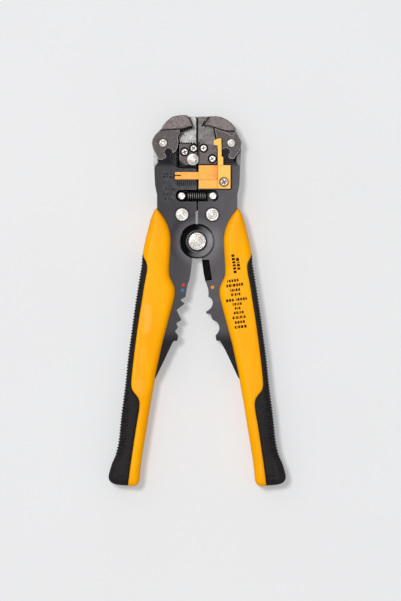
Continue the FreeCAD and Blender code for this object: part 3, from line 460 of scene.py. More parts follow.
def m_strip_blade():
    g = G("strip_blade_ground")
    s = g.noise(700, 2, 0.5, g.scaled(5.0, 0.3, 1.0))
    e = g.edge(0.0002, 0.02, 0.3)
    col = g.mix(g.rng(s, 0.35, 0.7), (0.006, 0.005, 0.005), (0.020, 0.018, 0.017))
    # painted highlight along the edges
    col = g.mix(g.math("MULTIPLY", e, 0.35), col, (0.25, 0.24, 0.23))
    return g.out(col, 0.4, 0.3, g.bump(s, 0.2, 0.0002), spec=0.15)


def m_spring():
    """Oiled black music wire, with a painted highlight in grey along each turn's top."""
    g = G("spring_black_wire")
    s = g.sep()
    n1 = g.noise(800, 3, 0.6)
    col = g.mix(g.rng(n1, 0.4, 0.7), (0.008, 0.008, 0.008), (0.022, 0.021, 0.020))
    gm = g.n("ShaderNodeNewGeometry")
    nx, ny, nz = g.sep(gm.outputs["Normal"])[:3]
    # painted highlight: a grey line along the top of each turn
    crown = g.math("MULTIPLY", g.rng(nz, 0.72, 0.92), g.rng(s[2], 0.0016, 0.0030))
    col = g.mix(g.math("MULTIPLY", crown, 0.9), col, (0.20, 0.195, 0.19))
    return g.out(col, g.rng(n1, 0.3, 0.7, 0.25, 0.45), 0.2, g.bump(n1, 0.1, 0.0001), spec=0.15)


def m_yellow():
    """Glossy yellow-orange shell: painted shade in deeper orange towards the outer edge and beside other parts, faint
    moulding flow and fine grain.
    """
    g = G("grip_yellow_plastic")
    flow = g.noise(38, 3, 0.5, g.scaled(3.0, 0.5, 1.0), 0.5)
    fine = g.noise(1300, 2, 0.5)
    blot = g.noise(24, 2, 0.5)
    s = g.sep()
    col = g.mix(g.rng(flow, 0.35, 0.7), (0.88, 0.345, 0.0004), (0.90, 0.395, 0.0008))
    col = g.mix(g.rng(blot, 0.52, 0.75, 0.0, 0.25), col, (0.92, 0.46, 0.02))
    # thumb-end warmth, as thicker moulded colour near the shoulders
    col = g.mix(g.math("MULTIPLY", g.rng(s[1], -0.004, 0.014), 0.35), col, (0.80, 0.26, 0.002))
    speck = g.voronoi(420)
    col = g.mix(g.rng(speck, 0.05, 0.0, 0.0, 0.25), col, (0.75, 0.28, 0.01))
    nrm = g.bump(fine, 0.05, 0.0002)
    nrm = g.bump(flow, 0.10, 0.0012, nrm)
    # painted reflection: soft pale streaks on the left shell
    pale = g.most(g.line(((-27.4, -36.5), (-27.2, -43.0), (-28.0, -49.0)), 0.6, 2.6),
                  g.math("MULTIPLY", g.line(((-31.6, -78.0), (-31.0, -82.5)), 0.8, 2.6), 0.9),
                  g.math("MULTIPLY", g.line(((-30.0, -60.0), (-31.2, -74.0)), 0.2, 2.4), 0.45))
    col = g.mix(g.math("MULTIPLY", pale, g.rng(blot, 0.3, 0.6, 0.25, 0.50)), col, (0.93, 0.50, 0.10))
    # painted shade: deeper orange near the edges and beside other parts
    rimmed = g.crevice(0.004, 0.45, 0.95)
    col = g.mix(g.math("MULTIPLY", rimmed, 0.5), col, (0.70, 0.20, 0.001))
    return g.out(col, g.rng(flow, 0.3, 0.7, 0.24, 0.34), 0.0, nrm, spec=0.05)


def m_rubber():
    """Soft black overmould: matte, faintly warm, fine leather-like grain."""
    g = G("grip_black_rubber")
    grain = g.voronoi(1400)
    n1 = g.noise(500, 4, 0.6)
    cloud = g.noise(40, 2, 0.5)
    col = g.mix(g.rng(n1, 0.35, 0.7), (0.009, 0.0072, 0.0078), (0.020, 0.0165, 0.0175))
    col = g.mix(g.rng(cloud, 0.5, 0.75, 0.0, 0.35), col, (0.030, 0.025, 0.026))
    h = g.math("ADD", g.math("MULTIPLY", grain, 0.6), g.math("MULTIPLY", n1, 0.6))
    return g.out(col, g.rng(n1, 0.3, 0.7, 0.55, 0.72), 0.0, g.bump(h, 0.25, 0.0002), spec=0.12)


def m_stop():
    """Moulded orange plastic: painted highlights on the raised parts and edges, painted shade in deeper orange low down
    and in its corners.
    """
    g = G("stop_orange_plastic")
    n1 = g.noise(120, 3, 0.5)
    fine = g.noise(1500, 2, 0.5)
    s = g.sep()
    # painted light: the raised parts are lighter, the low parts stay deeper orange
    high = g.rng(s[2], 0.0083, 0.0096)
    col = g.mix(g.rng(n1, 0.35, 0.7), (0.86, 0.36, 0.040), (0.90, 0.40, 0.052))
    col = g.mix(g.math("MULTIPLY", high, 0.8), col, (1.0, 0.52, 0.085))
    # painted highlight along the edges
    e = g.edge(0.0003)
    col = g.mix(g.math("MULTIPLY", e, 0.40), col, (1.0, 0.68, 0.26))
    # painted shade in the corners
    col = g.mix(g.math("MULTIPLY", g.crevice(0.0015, 0.3, 0.8), 0.85), col, (0.32, 0.07, 0.004))
    # painted shadow: dark lines along the steps and edges, and a dark ring round the screw recess
    lines = g.most(g.line(((0.9, 33.75), (11.3, 33.75)), 0.10), g.line(((11.35, 41.6), (11.35, 29.1)), 0.12),
                   g.line(((11.5, 41.75), (14.2, 41.75)), 0.08), g.line(((0.7, 34.1), (0.7, 38.0)), 0.08),
                   g.band(g.radial(14.74, 32.6), 0.0026, 0.0029, 0.0001))
    col = g.mix(g.math("MULTIPLY", lines, 0.55), col, (0.42, 0.10, 0.006))
    # shaded well beside the arm, and faint draw marks
    well = g.math("MULTIPLY", g.rng(s[0], 0.0070, 0.0112), g.math("MULTIPLY", g.rng(s[0], 0.01145, 0.0113), g.band(s[1], 0.0342, 0.0414, 0.0006)))
    col = g.mix(g.math("MULTIPLY", well, 0.50), col, (0.72, 0.17, 0.012))
    draw = g.rng(g.noise(900, 2, 0.6, g.scaled(0.35, 2.2, 1.0)), 0.52, 0.68, 0.0, 0.35)
    col = g.mix(draw, col, (0.92, 0.50, 0.12))
    return g.out(col, g.rng(n1, 0.3, 0.7, 0.32, 0.42), 0.0, g.bump(fine, 0.06, 0.0002), spec=0.2)


def m_enamel(name, c):
    g = G(name)
    n1 = g.noise(900, 3, 0.5)
    col = g.mix(g.rng(n1, 0.35, 0.7), tuple(0.8 * x for x in c), c)
    return g.out(col, g.rng(n1, 0.3, 0.7, 0.22, 0.34), 0.0, g.bump(n1, 0.15, 0.0003), coat=0.04, spec=0.12)


def m_print():
    g = G("pad_print_brown")
    n1 = g.noise(1500, 3, 0.6)
    col = g.mix(g.rng(n1, 0.4, 0.7), (0.020, 0.0045, 0.001), (0.085, 0.026, 0.006))
    return g.out(col, 0.6, 0.0, g.bump(n1, 0.1, 0.0001), spec=0.04)


M_PLATE, M_CORE, M_CARRIER = m_plate(), m_core(), m_carrier()
M_CAST = m_cast("jaw_cast_steel", (0.064, 0.051, 0.050), 0.66, 0.0007, nose=(0.148, 0.120, 0.116))
M_BLOCK_L = m_cast("block_cast_steel_left", (0.085, 0.068, 0.068), 0.35, 0.0004,
                   holes=((-6.88, 49.2, 2.45), (-1.98, 51.15, 2.45)), teeth_y=53.6)
M_BLOCK_R = m_cast("block_cast_steel_right", (0.090, 0.072, 0.072), 0.35, 0.0004,
                   holes=((3.58, 51.2, 2.45), (8.36, 45.4, 2.45)))
M_YELLOW, M_RUBBER, M_STOP, M_SPRING = m_yellow(), m_rubber(), m_stop(), m_spring()

PAINT = {
    "left_front_plate": M_PLATE, "left_back_plate": M_PLATE, "right_front_plate": M_PLATE,
    "right_back_plate": M_PLATE, "left_core": M_CORE, "right_core": M_CORE,
    "left_carrier": M_CARRIER, "right_carrier": M_CARRIER,
    "left_upper_jaw": M_CAST, "right_upper_jaw": M_CAST,
    "left_lower_jaw": M_BLOCK_L, "right_lower_jaw": M_BLOCK_R,
    "cutter_blade": m_blade(), "lower_strip_blade": m_strip_blade(),
    "main_pivot_pin": m_turned("pivot_turned", 0, 0, 0.8, rim=5.03, rings=(0.25, 1.5, 2.7, 3.9)),
    "left_frame_rivet": m_turned("rivet_turned_l", -8.36, 14.74, 0.8, rim=3.7, rings=(1.0, 2.2)),
    "right_frame_rivet": m_turned("rivet_turned_r", 8.36, 14.74, 0.8, rim=3.7, rings=(1.1, 2.3)),
    "left_jaw_pin": m_turned("jaw_pin_turned_l", -18.75, 54.07, 0.7, rim=2.4, rings=(1.1,)),
    "right_jaw_pin": m_turned("jaw_pin_turned_r", 18.75, 54.07, 0.7, rim=2.4, rings=(1.1,)),
    "left_spring_post": m_turned("post_turned_l", -8.6, 25.0, 0.8),
    "right_spring_post": m_turned("post_turned_r", 8.6, 25.0, 0.8),
    "keeper_stud": m_turned("keeper_turned", -2.42, 45.0, 1.3, (0.42, 0.40, 0.38), (0.13, 0.11, 0.10), 0.35),
    "left_jaw_screws": m_turned("screw_turned_l", -4.4, 50.1, 0.9, (0.66, 0.64, 0.61), (0.20, 0.15, 0.12), 0.12, sunk=3.62),
    "right_jaw_screws": m_turned("screw_turned_r", 6.0, 48.3, 0.9, (0.66, 0.64, 0.61), (0.20, 0.15, 0.12), 0.12, sunk=3.62),
    "stop_lock_screw": m_turned("lock_screw_turned", 14.74, 32.6, 0.9, (0.50, 0.43, 0.38), (0.10, 0.06, 0.045), 0.25, rim=2.25, sunk=9.6),
    "length_stop": M_STOP,
    "marker_red": m_enamel("enamel_red", (0.62, 0.016, 0.030)),
    "marker_blue": m_enamel("enamel_blue", (0.006, 0.15, 0.36)),
    "marker_yellow": m_enamel("enamel_amber", (0.86, 0.29, 0.004)),
    "upper_strip_blade": m_strip_blade(),
    "left_grip": M_YELLOW, "right_grip": M_YELLOW, "left_grip_rubber": M_RUBBER,
    "right_grip_rubber": M_RUBBER, "tension_spring": M_SPRING,
}
EDGE = {  # visible edge break, mm
    "left_front_plate": 0.3, "right_front_plate": 0.3, "left_back_plate": 0.3, "right_back_plate": 0.3,
    "left_core": 0.2, "right_core": 0.2, "left_carrier": 0.2, "right_carrier": 0.2,
    "left_upper_jaw": 0.12, "right_upper_jaw": 0.12, "left_lower_jaw": 0.12, "right_lower_jaw": 0.2,
    "length_stop": 0.25, "cutter_blade": 0.12, "lower_strip_blade": 0.08, "upper_strip_blade": 0.08,
    "marker_red": 0.03, "marker_blue": 0.03, "marker_yellow": 0.03,
}
for name, ob in nodes.items():
    ob.data.materials.clear()
    ob.data.materials.append(PAINT[name])
    for p in ob.data.polygons:
        p.material_index = 0
    if name in EDGE:
        w = ob.modifiers.new("weld", "WELD")
        w.merge_threshold = 2e-6
        bv = ob.modifiers.new("edge_break", "BEVEL")
        bv.width = EDGE[name] * MM
        bv.segments = 2
        bv.limit_method = "ANGLE"
        bv.angle_limit = math.radians(38)
        bv.use_clamp_overlap = True
        bv.harden_normals = False


# ============================================================ geometry helpers
def curve(pts, step):
    """Centripetal Catmull-Rom through pts, resampled evenly, both ends kept (mm)."""
    p = [np.array(q, float) for q in pts]
    p = [2 * p[0] - p[1]] + p + [2 * p[-1] - p[-2]]
    dense = []
    for i in range(1, len(p) - 2):
        p0, p1, p2, p3 = p[i - 1:i + 3]
        t0 = 0.0
        t1 = t0 + max(1e-6, np.linalg.norm(p1 - p0) ** 0.5)
        t2 = t1 + max(1e-6, np.linalg.norm(p2 - p1) ** 0.5)
        t3 = t2 + max(1e-6, np.linalg.norm(p3 - p2) ** 0.5)
        for k in range(16):
            t = t1 + (t2 - t1) * k / 16.0
            a1 = (t1 - t) / (t1 - t0) * p0 + (t - t0) / (t1 - t0) * p1
            a2 = (t2 - t) / (t2 - t1) * p1 + (t - t1) / (t2 - t1) * p2
            a3 = (t3 - t) / (t3 - t2) * p2 + (t - t2) / (t3 - t2) * p3
            b1 = (t2 - t) / (t2 - t0) * a1 + (t - t0) / (t2 - t0) * a2
            b2 = (t3 - t) / (t3 - t1) * a2 + (t - t1) / (t3 - t1) * a3
            dense.append((t2 - t) / (t2 - t1) * b1 + (t - t1) / (t2 - t1) * b2)
    dense.append(np.array(pts[-1], float))
    return resample(np.array(dense), step)


def resample(d, step):
    seg = np.linalg.norm(np.diff(d, axis=0), axis=1)
    s = np.concatenate([[0], np.cumsum(seg)])
    n = max(2, int(round(s[-1] / step)))
    u = np.linspace(0, s[-1], n + 1)
    return np.stack([np.interp(u, s, d[:, 0]), np.interp(u, s, d[:, 1])], 1)


def dist_to(points, line, closed=False):
    """Distance of each point to a polyline."""
    a = line if not closed else np.vstack([line, line[:1]])
    p0, p1 = a[:-1], a[1:]
    out = np.full(len(points), 1e9)
    d = p1 - p0
    L = np.maximum((d * d).sum(1), 1e-12)
    for lo in range(0, len(points), 2000):
        q = points[lo:lo + 2000][:, None, :] - p0[None]
        t = np.clip((q * d[None]).sum(2) / L[None], 0, 1)
        e = q - t[..., None] * d[None]
        out[lo:lo + 2000] = np.sqrt((e * e).sum(2)).min(1)
    return out


def inside(points, poly):
    x, y = points[:, 0], points[:, 1]
    res = np.zeros(len(points), bool)
    n = len(poly)
    j = n - 1
    for i in range(n):
        xi, yi = poly[i]
        xj, yj = poly[j]
        c = ((yi > y) != (yj > y)) & (x < (xj - xi) * (y - yi) / (yj - yi + 1e-15) + xi)
        res ^= c
        j = i
    return res


def add_mesh(name, verts_mm, faces, mat, smooth_deg=40):
    me = bpy.data.meshes.new(name)
    me.from_pydata([tuple(float(c) * MM for c in v) for v in verts_mm], [], faces)
    me.validate()
    bm = bmesh.new()
    bm.from_mesh(me)
    bmesh.ops.remove_doubles(bm, verts=bm.verts, dist=1e-7)
    bmesh.ops.recalc_face_normals(bm, faces=bm.faces)
    bm.to_mesh(me)
    bm.free()
    me.materials.append(mat)
    for p in me.polygons:
        p.use_smooth = True
    me.set_sharp_from_angle(angle=math.radians(smooth_deg))
    ob = bpy.data.objects.new(name, me)
    bpy.context.scene.collection.objects.link(ob)
    return ob


# ============================================================ handle grips
GRIP_OUTER = [(-23.04, 17.9), (-24.42, 15.29), (-25.52, 12.27), (-26.51, 8.69), (-27.45, 5.0),
              (-28.43, 1.0), (-29.26, -2.9), (-30.08, -7.4), (-30.91, -12.6), (-31.95, -19.0),
              (-33.05, -25.8), (-34.38, -34.4), (-35.64, -43.2), (-36.79, -52.0), (-38.01, -60.8),
              (-38.99, -69.6), (-39.87, -78.4), (-41.0, -87.2), (-41.9, -94.0), (-42.6, -100.5),
              (-43.39, -108.5), (-44.4, -114.0), (-46.0, -119.5), (-47.6, -124.2), (-48.7, -128.3)]
GRIP_FOOT = [(-48.7, -128.3), (-48.75, -130.6), (-47.3, -132.7), (-44.93, -133.75), (-42.18, -134.15),
             (-38.22, -134.45), (-35.6, -134.75), (-33.4, -134.2), (-32.1, -132.6), (-31.6, -130.6)]
GRIP_INNER = [(-31.6, -130.6), (-31.2, -125.5), (-30.2, -118.0), (-28.8, -109.3), (-27.35, -100.5),
              (-25.95, -91.7), (-24.4, -82.9), (-22.8, -74.0), (-20.9, -65.2), (-19.0, -56.4),
              (-16.9, -48.6), (-14.9, -41.0), (-13.1, -34.2), (-12.1, -29.3), (-12.2, -25.8),
              (-13.5, -22.3), (-14.8, -19.5), (-15.2, -16.2), (-15.0, -11.0), (-14.6, -4.5),
              (-14.4, 0.5), (-14.9, 5.0), (-16.2, 9.2), (-18.2, 13.1), (-20.8, 16.7)]
GRIP_TIP = [(-20.8, 16.7), (-21.6, 17.6), (-22.3, 18.1), (-23.04, 17.9)]
BORDER = [(-29.95, -6.65), (-29.26, -9.0), (-28.27, -10.83), (-27.6, -12.9), (-27.55, -15.4),
          (-28.11, -19.08), (-28.98, -23.48), (-30.36, -32.28), (-31.79, -41.08), (-33.05, -49.88),
          (-34.21, -58.68), (-35.26, -67.48), (-36.05, -75.0), (-36.25, -79.0), (-35.8, -81.4),
          (-34.95, -82.9), (-33.66, -84.46), (-32.51, -86.1), (-31.84, -88.0), (-31.75, -90.6),
          (-32.06, -93.5), (-33.38, -101.2), (-34.7, -109.8), (-35.97, -118.4), (-37.10, -126.4),
          (-38.06, -134.46)]
RIB_PITCH = 1.58
STEP = 0.55

outer_c = curve(GRIP_OUTER, STEP)
foot_c = curve(GRIP_FOOT, STEP)
inner_c = curve(GRIP_INNER, STEP)
tip_c = curve(GRIP_TIP, STEP * 0.6)
border_c = curve(BORDER, STEP)
OUTLINE = np.vstack([outer_c[:-1], foot_c[:-1], inner_c[:-1], tip_c[:-1]])
i_cut = int(np.argmin(np.linalg.norm(outer_c - border_c[0], axis=1)))
j_cut = int(np.argmin(np.linalg.norm(foot_c - border_c[-1], axis=1)))
SHELL = np.vstack([outer_c[:i_cut], border_c[:-1], foot_c[j_cut:-1], inner_c[:-1], tip_c[:-1]])


def grip_height(p):
    """Top surface of the whole handle, mm above the mid-plane."""
    d = dist_to(p, OUTLINE, True)
    f = np.clip((20.5 - p[:, 1]) / 14.0, 0.25, 1.0)
    R = 3.9 * f
    u = 1 - np.clip(d / R, 0, 1)
    z = 9.0 - 3.7 * (1 - np.sqrt(np.clip(1 - u * u, 0, 1)))
    z = z - 0.5 * np.clip((p[:, 1] - 2.0) / 16.0, 0, 1) ** 1.5
    return z + 0.12 * np.clip(d / 8.0, 0, 1), d


def shell_height(p):
    z, d = grip_height(p)
    db = dist_to(p, border_c)
    u = 1 - np.clip(db / 1.5, 0, 1)
    z = z - 0.75 * (1 - np.sqrt(np.clip(1 - u * u, 0, 1)))
    return z


def closed_from_plan(name, loop, interior, hfun, zwall, mat, mirror):
    """Closed solid: plan loop, top and bottom height field, rounded side wall."""
    pts = np.vstack([loop, interior])
    n = len(loop)
    edges = [(i, (i + 1) % n) for i in range(n)]
    res = delaunay_2d_cdt([Vector((float(x), float(y))) for x, y in pts], edges, [list(range(n))], 1, 1e-5)
    v2, tri = np.array([[v.x, v.y] for v in res[0]]), [list(t) for t in res[2]]
    z = hfun(v2)
    nb = len(v2)
    verts = [(x, y, h) for (x, y), h in zip(v2, z)] + [(x, y, -h) for (x, y), h in zip(v2, z)]
    faces = [t for t in tri] + [[nb + k for k in reversed(t)] for t in tri]
    count = {}
    for t in tri:
        for a, b in zip(t, t[1:] + t[:1]):
            count[(a, b)] = count.get((a, b), 0) + 1
    rim = [(a, b) for (a, b) in count if (b, a) not in count]
    levels = [0.62, 0.22, -0.22, -0.62]
    ring = {}
    for a, b in rim:
        for k in (a, b):
            if k not in ring:
                ids = [k]
                for lv in levels:
                    verts.append((v2[k][0], v2[k][1], z[k] * lv))
                    ids.append(len(verts) - 1)
                ids.append(nb + k)
                ring[k] = ids
    for a, b in rim:
        for i in range(len(levels) + 1):
            faces.append([ring[b][i], ring[a][i], ring[a][i + 1], ring[b][i + 1]])
    if mirror:
        verts = [(-x, y, zz) for x, y, zz in verts]
    return add_mesh(name, verts, faces, mat, 50)


def shell_interior():
    area = SHELL
    rings = []
    prev = np.roll(area, 1, axis=0)
    nxt = np.roll(area, -1, axis=0)
    t = nxt - prev
    t /= np.maximum(np.linalg.norm(t, axis=1)[:, None], 1e-9)
    sgn = np.sign(np.sum(area[:, 0] * nxt[:, 1] - nxt[:, 0] * area[:, 1]))
    nrm = np.stack([-t[:, 1], t[:, 0]], 1) * sgn
    for d in (0.10, 0.28, 0.55, 0.95, 1.5, 2.2, 3.0, 3.9):
        q = area + nrm * d
        ok = inside(q, area) & (dist_to(q, area, True) > d * 0.9)
        rings.append(q[ok])
    s = STEP * 2.0
    xs = np.arange(-50, -10, s)
    ys = np.arange(-136, 20, s * 0.866)
    grid = np.array([(x + (s / 2 if j % 2 else 0), y) for j, y in enumerate(ys) for x in xs])
    ok = inside(grid, area)
    grid = grid[ok]
    grid = grid[dist_to(grid, area, True) > 4.3]
    return np.vstack(rings + [grid])


SHELL_IN = shell_interior()


def make_shell(side):
    ob = closed_from_plan(side + "_grip_shell", SHELL, SHELL_IN, shell_height, 5.0, M_YELLOW, side == "right")
    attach(ob, "lever_" + side)
    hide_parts(side + "_grip")
    return ob


def make_rubber(side):
    """Ribbed soft strip, swept as a closed section from the border to the outer edge."""
    step = 0.26
    path = np.vstack([outer_c[i_cut:-1], foot_c[:j_cut + 1]])
    o = resample(path, step)
    b = resample(border_c, 0.2)
    axis = np.array([-38.06 + 29.95, -134.46 + 6.65])
    axis /= np.linalg.norm(axis)
    po = (o - o[0]) @ axis
    pb = (b - b[0]) @ axis
    po = np.maximum.accumulate(po)
    pb = np.maximum.accumulate(pb)
    po = po / po[-1]
    pb = pb / pb[-1]
    n = len(o)
    m = int(np.argmax(o[:, 0] > -1e9))
    # along the foot the outer path runs across, so spread the border's last stretch over it
    s_o = np.concatenate([[0], np.cumsum(np.linalg.norm(np.diff(o, axis=0), axis=1))])
    foot_len = float(np.sum(np.linalg.norm(np.diff(foot_c[:j_cut + 1], axis=0), axis=1)))
    s_foot = s_o[-1] - foot_len
    tgt = np.interp(s_o, [0, s_foot, s_o[-1]], [0, 1, 1])
    k = po / max(1e-9, np.interp(s_foot, s_o, po))
    y_par = np.where(s_o <= s_foot, k * 0.955, 0.955 + 0.045 * (s_o - s_foot) / foot_len)
    sb = np.interp(y_par, pb, np.arange(len(b)))
    B = np.stack([np.interp(sb, np.arange(len(b)), b[:, 0]), np.interp(sb, np.arange(len(b)), b[:, 1])], 1)
    width = np.linalg.norm(o - B, axis=1)
    # fractions measured from the outer edge
    fr = np.array([0, 0.02, 0.05, 0.09, 0.14, 0.2, 0.28, 0.37, 0.47, 0.58, 0.7, 0.82, 0.92, 0.975, 1.0])
    rows_v = []
    verts, faces = [], []
    tdir = np.gradient(o, axis=0)
    tdir /= np.maximum(np.linalg.norm(tdir, axis=1)[:, None], 1e-9)
    inward = np.stack([-tdir[:, 1], tdir[:, 0]], 1)
    probe = o + inward * 0.3
    if inside(probe, OUTLINE).mean() < 0.5:
        inward = -inward
    rib = 0.5 - 0.5 * np.cos(2 * np.pi * s_o / RIB_PITCH)
    rib = rib ** 0.7
    fade = np.clip((s_o - 1.5) / 4.0, 0, 1) * np.clip((s_foot - 7.0 - s_o) / 4.0, 0, 1)
    K = len(fr)
    P = o[:, None, :] + (B - o)[:, None, :] * fr[None, :, None]
    flat = P.reshape(-1, 2)
    z, d = grip_height(flat)
    db = dist_to(flat, border_c)
    z = z.reshape(n, K)
    d = d.reshape(n, K)
    db = db.reshape(n, K)
    zone = np.clip((s_o - 74.0) / 16.0, 0, 1)
    band = 2.5 + 2.1 * zone              # width of the ribbed band
    inb = np.clip((band[:, None] - d) / 0.7, 0, 1)
    inb = inb * inb * (3 - 2 * inb)
    z = z - 0.30 - 0.55 * np.exp(-(db / 0.55) ** 2)
    groove = np.exp(-((d - band[:, None] - 0.35) / 0.45) ** 2) * zone[:, None]
    z = z - 0.32 * groove * (width[:, None] > band[:, None] + 1)
    depth = 0.50 * rib[:, None] * fade[:, None] * inb
    z = z - depth
    P = P + inward[:, None, :] * (0.72 * rib * fade)[:, None, None] * np.clip(1 - d / 1.5, 0, 1)[:, :, None]
    P = P + inward[:, None, :] * 0.05
    wall = [0.66, 0.33, 0.0, -0.33, -0.66]
    for i in range(n):
        row = [(P[i, k, 0], P[i, k, 1], z[i, k]) for k in range(K - 1, -1, -1)]
        e = P[i, 0]
        row += [(e[0], e[1], z[i, 0] * w) for w in wall]
        row += [(P[i, k, 0], P[i, k, 1], -z[i, k]) for k in range(K)]
        q = P[i, K - 1]
        row += [(q[0], q[1], z[i, K - 1] * w) for w in (-0.5, 0.0, 0.5)]
        rows_v.append(row)
    R = len(rows_v[0])
    for row in rows_v:
        verts += row
    for i in range(n - 1):
        for k in range(R):
            a = i * R + k
            b2 = i * R + (k + 1) % R
            faces.append([a, b2, b2 + R, a + R])
    faces.append(list(range(R)))
    faces.append([(n - 1) * R + k for k in reversed(range(R))])
    if side == "right":
        verts = [(-x, y, zz) for x, y, zz in verts]
    ob = add_mesh(side + "_grip_soft_strip", verts, faces, M_RUBBER, 60)
    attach(ob, "lever_" + side)
    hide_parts(side + "_grip_rubber")
    return ob


for side in ("left", "right"):
    make_shell(side)
    make_rubber(side)


# ============================================================ generic printed block on the right shell
def surface_z(x, y):
    return float(shell_height(np.array([[-abs(x), y]]))[0])


def printed_bars():
    """Rows of short plain bars where a tool of this kind carries its size table. They say nothing."""
    tilt = math.radians(7.0)
    # (centre x, centre y, row height, block lengths); 0 leaves a word gap
    spec = [(19.6, -22.75, 1.75, (0.5, 1.2, 1.1, 1.3, 1.0)),
            (20.6, -25.2, 1.85, (1.1, 1.2, 0.5, 1.5, 1.1, 1.0, 1.2)),
            (20.9, -27.9, 1.75, (0.6, 1.0, 0.45, 1.1, 1.1)),
            (21.2, -30.3, 1.70, (1.1, 0.3, 1.1, 0.45, 1.1)),
            (21.6, -33.2, 1.75, (1.3, 1.3, 1.2, 0, 0.5, 1.2, 1.1, 1.2, 0.9)),
            (22.0, -35.6, 1.70, (0.6, 1.1, 0.45, 0.6, 1.1)),
            (22.2, -37.9, 1.60, (1.1, 0.45, 1.1)),
            (22.8, -40.3, 1.70, (1.1, 1.1, 0.45, 0.6, 1.1)),
            (23.0, -42.9, 1.75, (1.1, 0.3, 1.1, 0.45, 1.1, 0.3, 1.1)),
            (23.5, -45.5, 1.75, (1.2, 1.2, 1.1, 1.3)),
            (23.9, -48.1, 1.75, (1.0, 0.45, 1.1, 1.5, 1.5))]
    verts, faces = [], []

    def bar(cx, cy, length, height, ang):
        nx = max(2, int(length / 0.5))
        ny = 2
        c, s = math.cos(ang), math.sin(ang)
        ids = []
        for top in (1, 0):
            for j in range(ny + 1):
                for i in range(nx + 1):
                    u = (i / nx - 0.5) * length
                    v = (j / ny - 0.5) * height
                    if i in (0, nx) and j in (0, ny):
                        u *= 0.93
                    x, y = cx + u * c - v * s, cy + u * s + v * c
                    zz = surface_z(x, y)
                    verts.append((x, y, zz + (0.035 if top else -0.12)))
                    ids.append(len(verts) - 1)
        W = nx + 1
        T = (ny + 1) * W
        for j in range(ny):
            for i in range(nx):
                a = ids[j * W + i]
                faces.append([a, a + 1, a + W + 1, a + W])
                a2 = a + T
                faces.append([a2, a2 + W, a2 + W + 1, a2 + 1])
        o0 = ids[0]
        border = [o0 + i for i in range(nx)] + [o0 + nx + j * W for j in range(ny)] + \
                 [o0 + ny * W + nx - i for i in range(nx)] + [o0 + (ny - j) * W for j in range(ny)]
        for p, q in zip(border, border[1:] + border[:1]):
            faces.append([q, p, p + T, q + T])

    for cx, y, hgt, bars in spec:
        total = sum(bars) + 0.30 * (len(bars) - 1) + 0.5 * bars.count(0)
        u = -total / 2
        for L in bars:
            if L:
                mid = u + L / 2
                bar(cx + mid * math.cos(tilt), y + 1.1 + mid * math.sin(tilt), L * 0.90, hgt * 0.86, tilt)
            u += L + 0.30 + (0.5 if not L else 0)
    up = math.radians(98)
    for cx, y0, segs in ((19.6, -7.1, (1.6, 1.5, 1.3, 1.3, 1.4, 1.7)), (22.2, -9.0, (2.0, 0.6, 1.6, 1.4))):
        v = y0
        for L in segs:
            bar(cx + (y0 - v) * 0.14, v - L / 2, L * 0.9, 1.65, up)
            v -= L + 0.36
    ob = add_mesh("right_grip_print", verts, faces, m_print(), 60)
    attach(ob, "lever_right")
    return ob


printed_bars()


# ============================================================ tension spring, in two halves
def tube(name, path, r, sides, mat):
    p = np.array(path, float)
    n = len(p)
    t = np.gradient(p, axis=0)
    t /= np.linalg.norm(t, axis=1)[:, None]
    ref = np.array([0, 0, 1.0])
    u = np.cross(t[0], ref)
    u /= np.linalg.norm(u)
    verts, faces = [], []
    for i in range(n):
        u = u - t[i] * (u @ t[i])
        u /= np.linalg.norm(u)
        w = np.cross(t[i], u)
        for k in range(sides):
            a = 2 * math.pi * k / sides
            verts.append(p[i] + r * (math.cos(a) * u + math.sin(a) * w))
    for i in range(n - 1):
        for k in range(sides):
            a, b = i * sides + k, i * sides + (k + 1) % sides
            faces.append([a, b, b + sides, a + sides])
    faces.append([k for k in reversed(range(sides))])
    faces.append([(n - 1) * sides + k for k in range(sides)])
    return add_mesh(name, verts, faces, mat, 60)


SX, SY, SZ = 8.6, 25.0, 0.5
COIL_R, WIRE_R, HX, TURNS = 2.5, 0.42, 5.2, 9
hr = 1.35 + WIRE_R + 0.05


def spring_half(s):
    loop = [(s * SX - s * hr * math.cos(math.radians(a)), SY + hr * math.sin(math.radians(a)), SZ)
            for a in range(-30, -276, -10)]
    x0, y0 = s * SX - s * hr * math.cos(math.radians(-275)), SY + hr * math.sin(math.radians(-275))
    start = np.array([loop[-1][0], loop[-1][1], SZ])
    hel = []
    half = TURNS / 2.0
    m = int(half * 26)
    for i in range(m + 1):
        t = i / m
        a = 2 * math.pi * half * t * (-s)
        hel.append((s * (HX - HX * t), SY + COIL_R * math.cos(a), SZ + COIL_R * math.sin(a)))
    end = np.array(hel[0])
    link = []
    for i in range(1, 10):
        t = i / 10
        link.append(tuple(start * (1 - t) + end * t + np.array([0, 0.12 * math.sin(math.pi * t), 0])))
    return loop + link + hel


for side, s in (("left", -1), ("right", 1)):
    ob = tube("tension_spring_" + side, spring_half(s), WIRE_R, 12, M_SPRING)
    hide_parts("tension_spring")
    if side == "left":
        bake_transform(ob)
    else:
        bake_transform(ob)


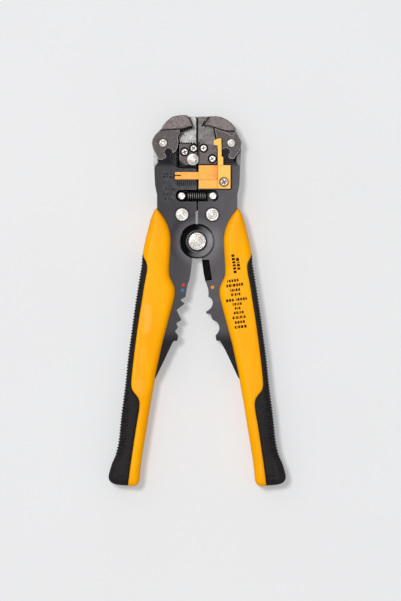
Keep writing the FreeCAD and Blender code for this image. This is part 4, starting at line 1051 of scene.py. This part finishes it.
# ============================================================ stage, light, camera
def stage():
    g = G("studio_floor")
    n1 = g.noise(9, 2, 0.5)
    col = g.mix(g.rng(n1, 0.3, 0.7), (0.440, 0.442, 0.445), (0.452, 0.454, 0.457))
    mat = g.out(col, 0.9, 0.0, spec=0.1)
    g.b.inputs["Emission Color"].default_value = (0.985, 0.99, 1.0, 1)
    g.b.inputs["Emission Strength"].default_value = 0.315
    me = bpy.data.meshes.new("floor")
    S, z = 3.0, -0.00925
    me.from_pydata([(-S, -S, z), (S, -S, z), (S, S, z), (-S, S, z)], [], [(0, 1, 2, 3)])
    me.materials.append(mat)
    ob = bpy.data.objects.new("floor", me)
    bpy.context.scene.collection.objects.link(ob)


stage()
world = bpy.data.worlds.new("studio")
bpy.context.scene.world = world
world.use_nodes = True
wn = world.node_tree
bg = wn.nodes["Background"]
tc = wn.nodes.new("ShaderNodeTexCoord")
sp = wn.nodes.new("ShaderNodeSeparateXYZ")
rp = wn.nodes.new("ShaderNodeValToRGB")
rp.color_ramp.elements[0].position = 0.0
rp.color_ramp.elements[0].color = (0.22, 0.22, 0.225, 1)
rp.color_ramp.elements[1].position = 1.0
rp.color_ramp.elements[1].color = (1.0, 1.0, 1.0, 1)
mid = rp.color_ramp.elements.new(0.72)
mid.color = (0.42, 0.42, 0.425, 1)
wn.links.new(tc.outputs["Generated"], sp.inputs[0])
wn.links.new(sp.outputs["Z"], rp.inputs["Fac"])
wn.links.new(rp.outputs["Color"], bg.inputs["Color"])
bg.inputs["Strength"].default_value = 0.86
bpy.context.scene.view_settings.view_transform = "Standard"

sun = bpy.data.lights.new("key", "SUN")
sun.energy = 2.15
sun.angle = math.radians(10)
so = bpy.data.objects.new("key", sun)
bpy.context.scene.collection.objects.link(so)
d = Vector((0.205, -0.165, -1.0)).normalized()
so.rotation_euler = d.to_track_quat("-Z", "Y").to_euler()

area = bpy.data.lights.new("soft", "AREA")
area.shape = "RECTANGLE"
area.size, area.size_y = 0.5, 0.3
area.energy = 0.35
ao = bpy.data.objects.new("soft", area)
ao.location = (-0.38, 0.28, 0.55)
ao.rotation_euler = (Vector((0, -0.03, 0)) - Vector(ao.location)).to_track_quat("-Z", "Y").to_euler()
bpy.context.scene.collection.objects.link(ao)

cam = bpy.data.cameras.new("camera")
cam.type = "ORTHO"
PX = 0.00055
cam.ortho_scale = 601 * PX
co = bpy.data.objects.new("camera", cam)
co.location = ((200.5 - 197.2) * PX, (241.3 - 300.5) * PX, 0.8)
co.rotation_euler = (0, 0, 0)
cam.clip_start, cam.clip_end = 0.01, 5
bpy.context.scene.collection.objects.link(co)
bpy.context.scene.camera = co
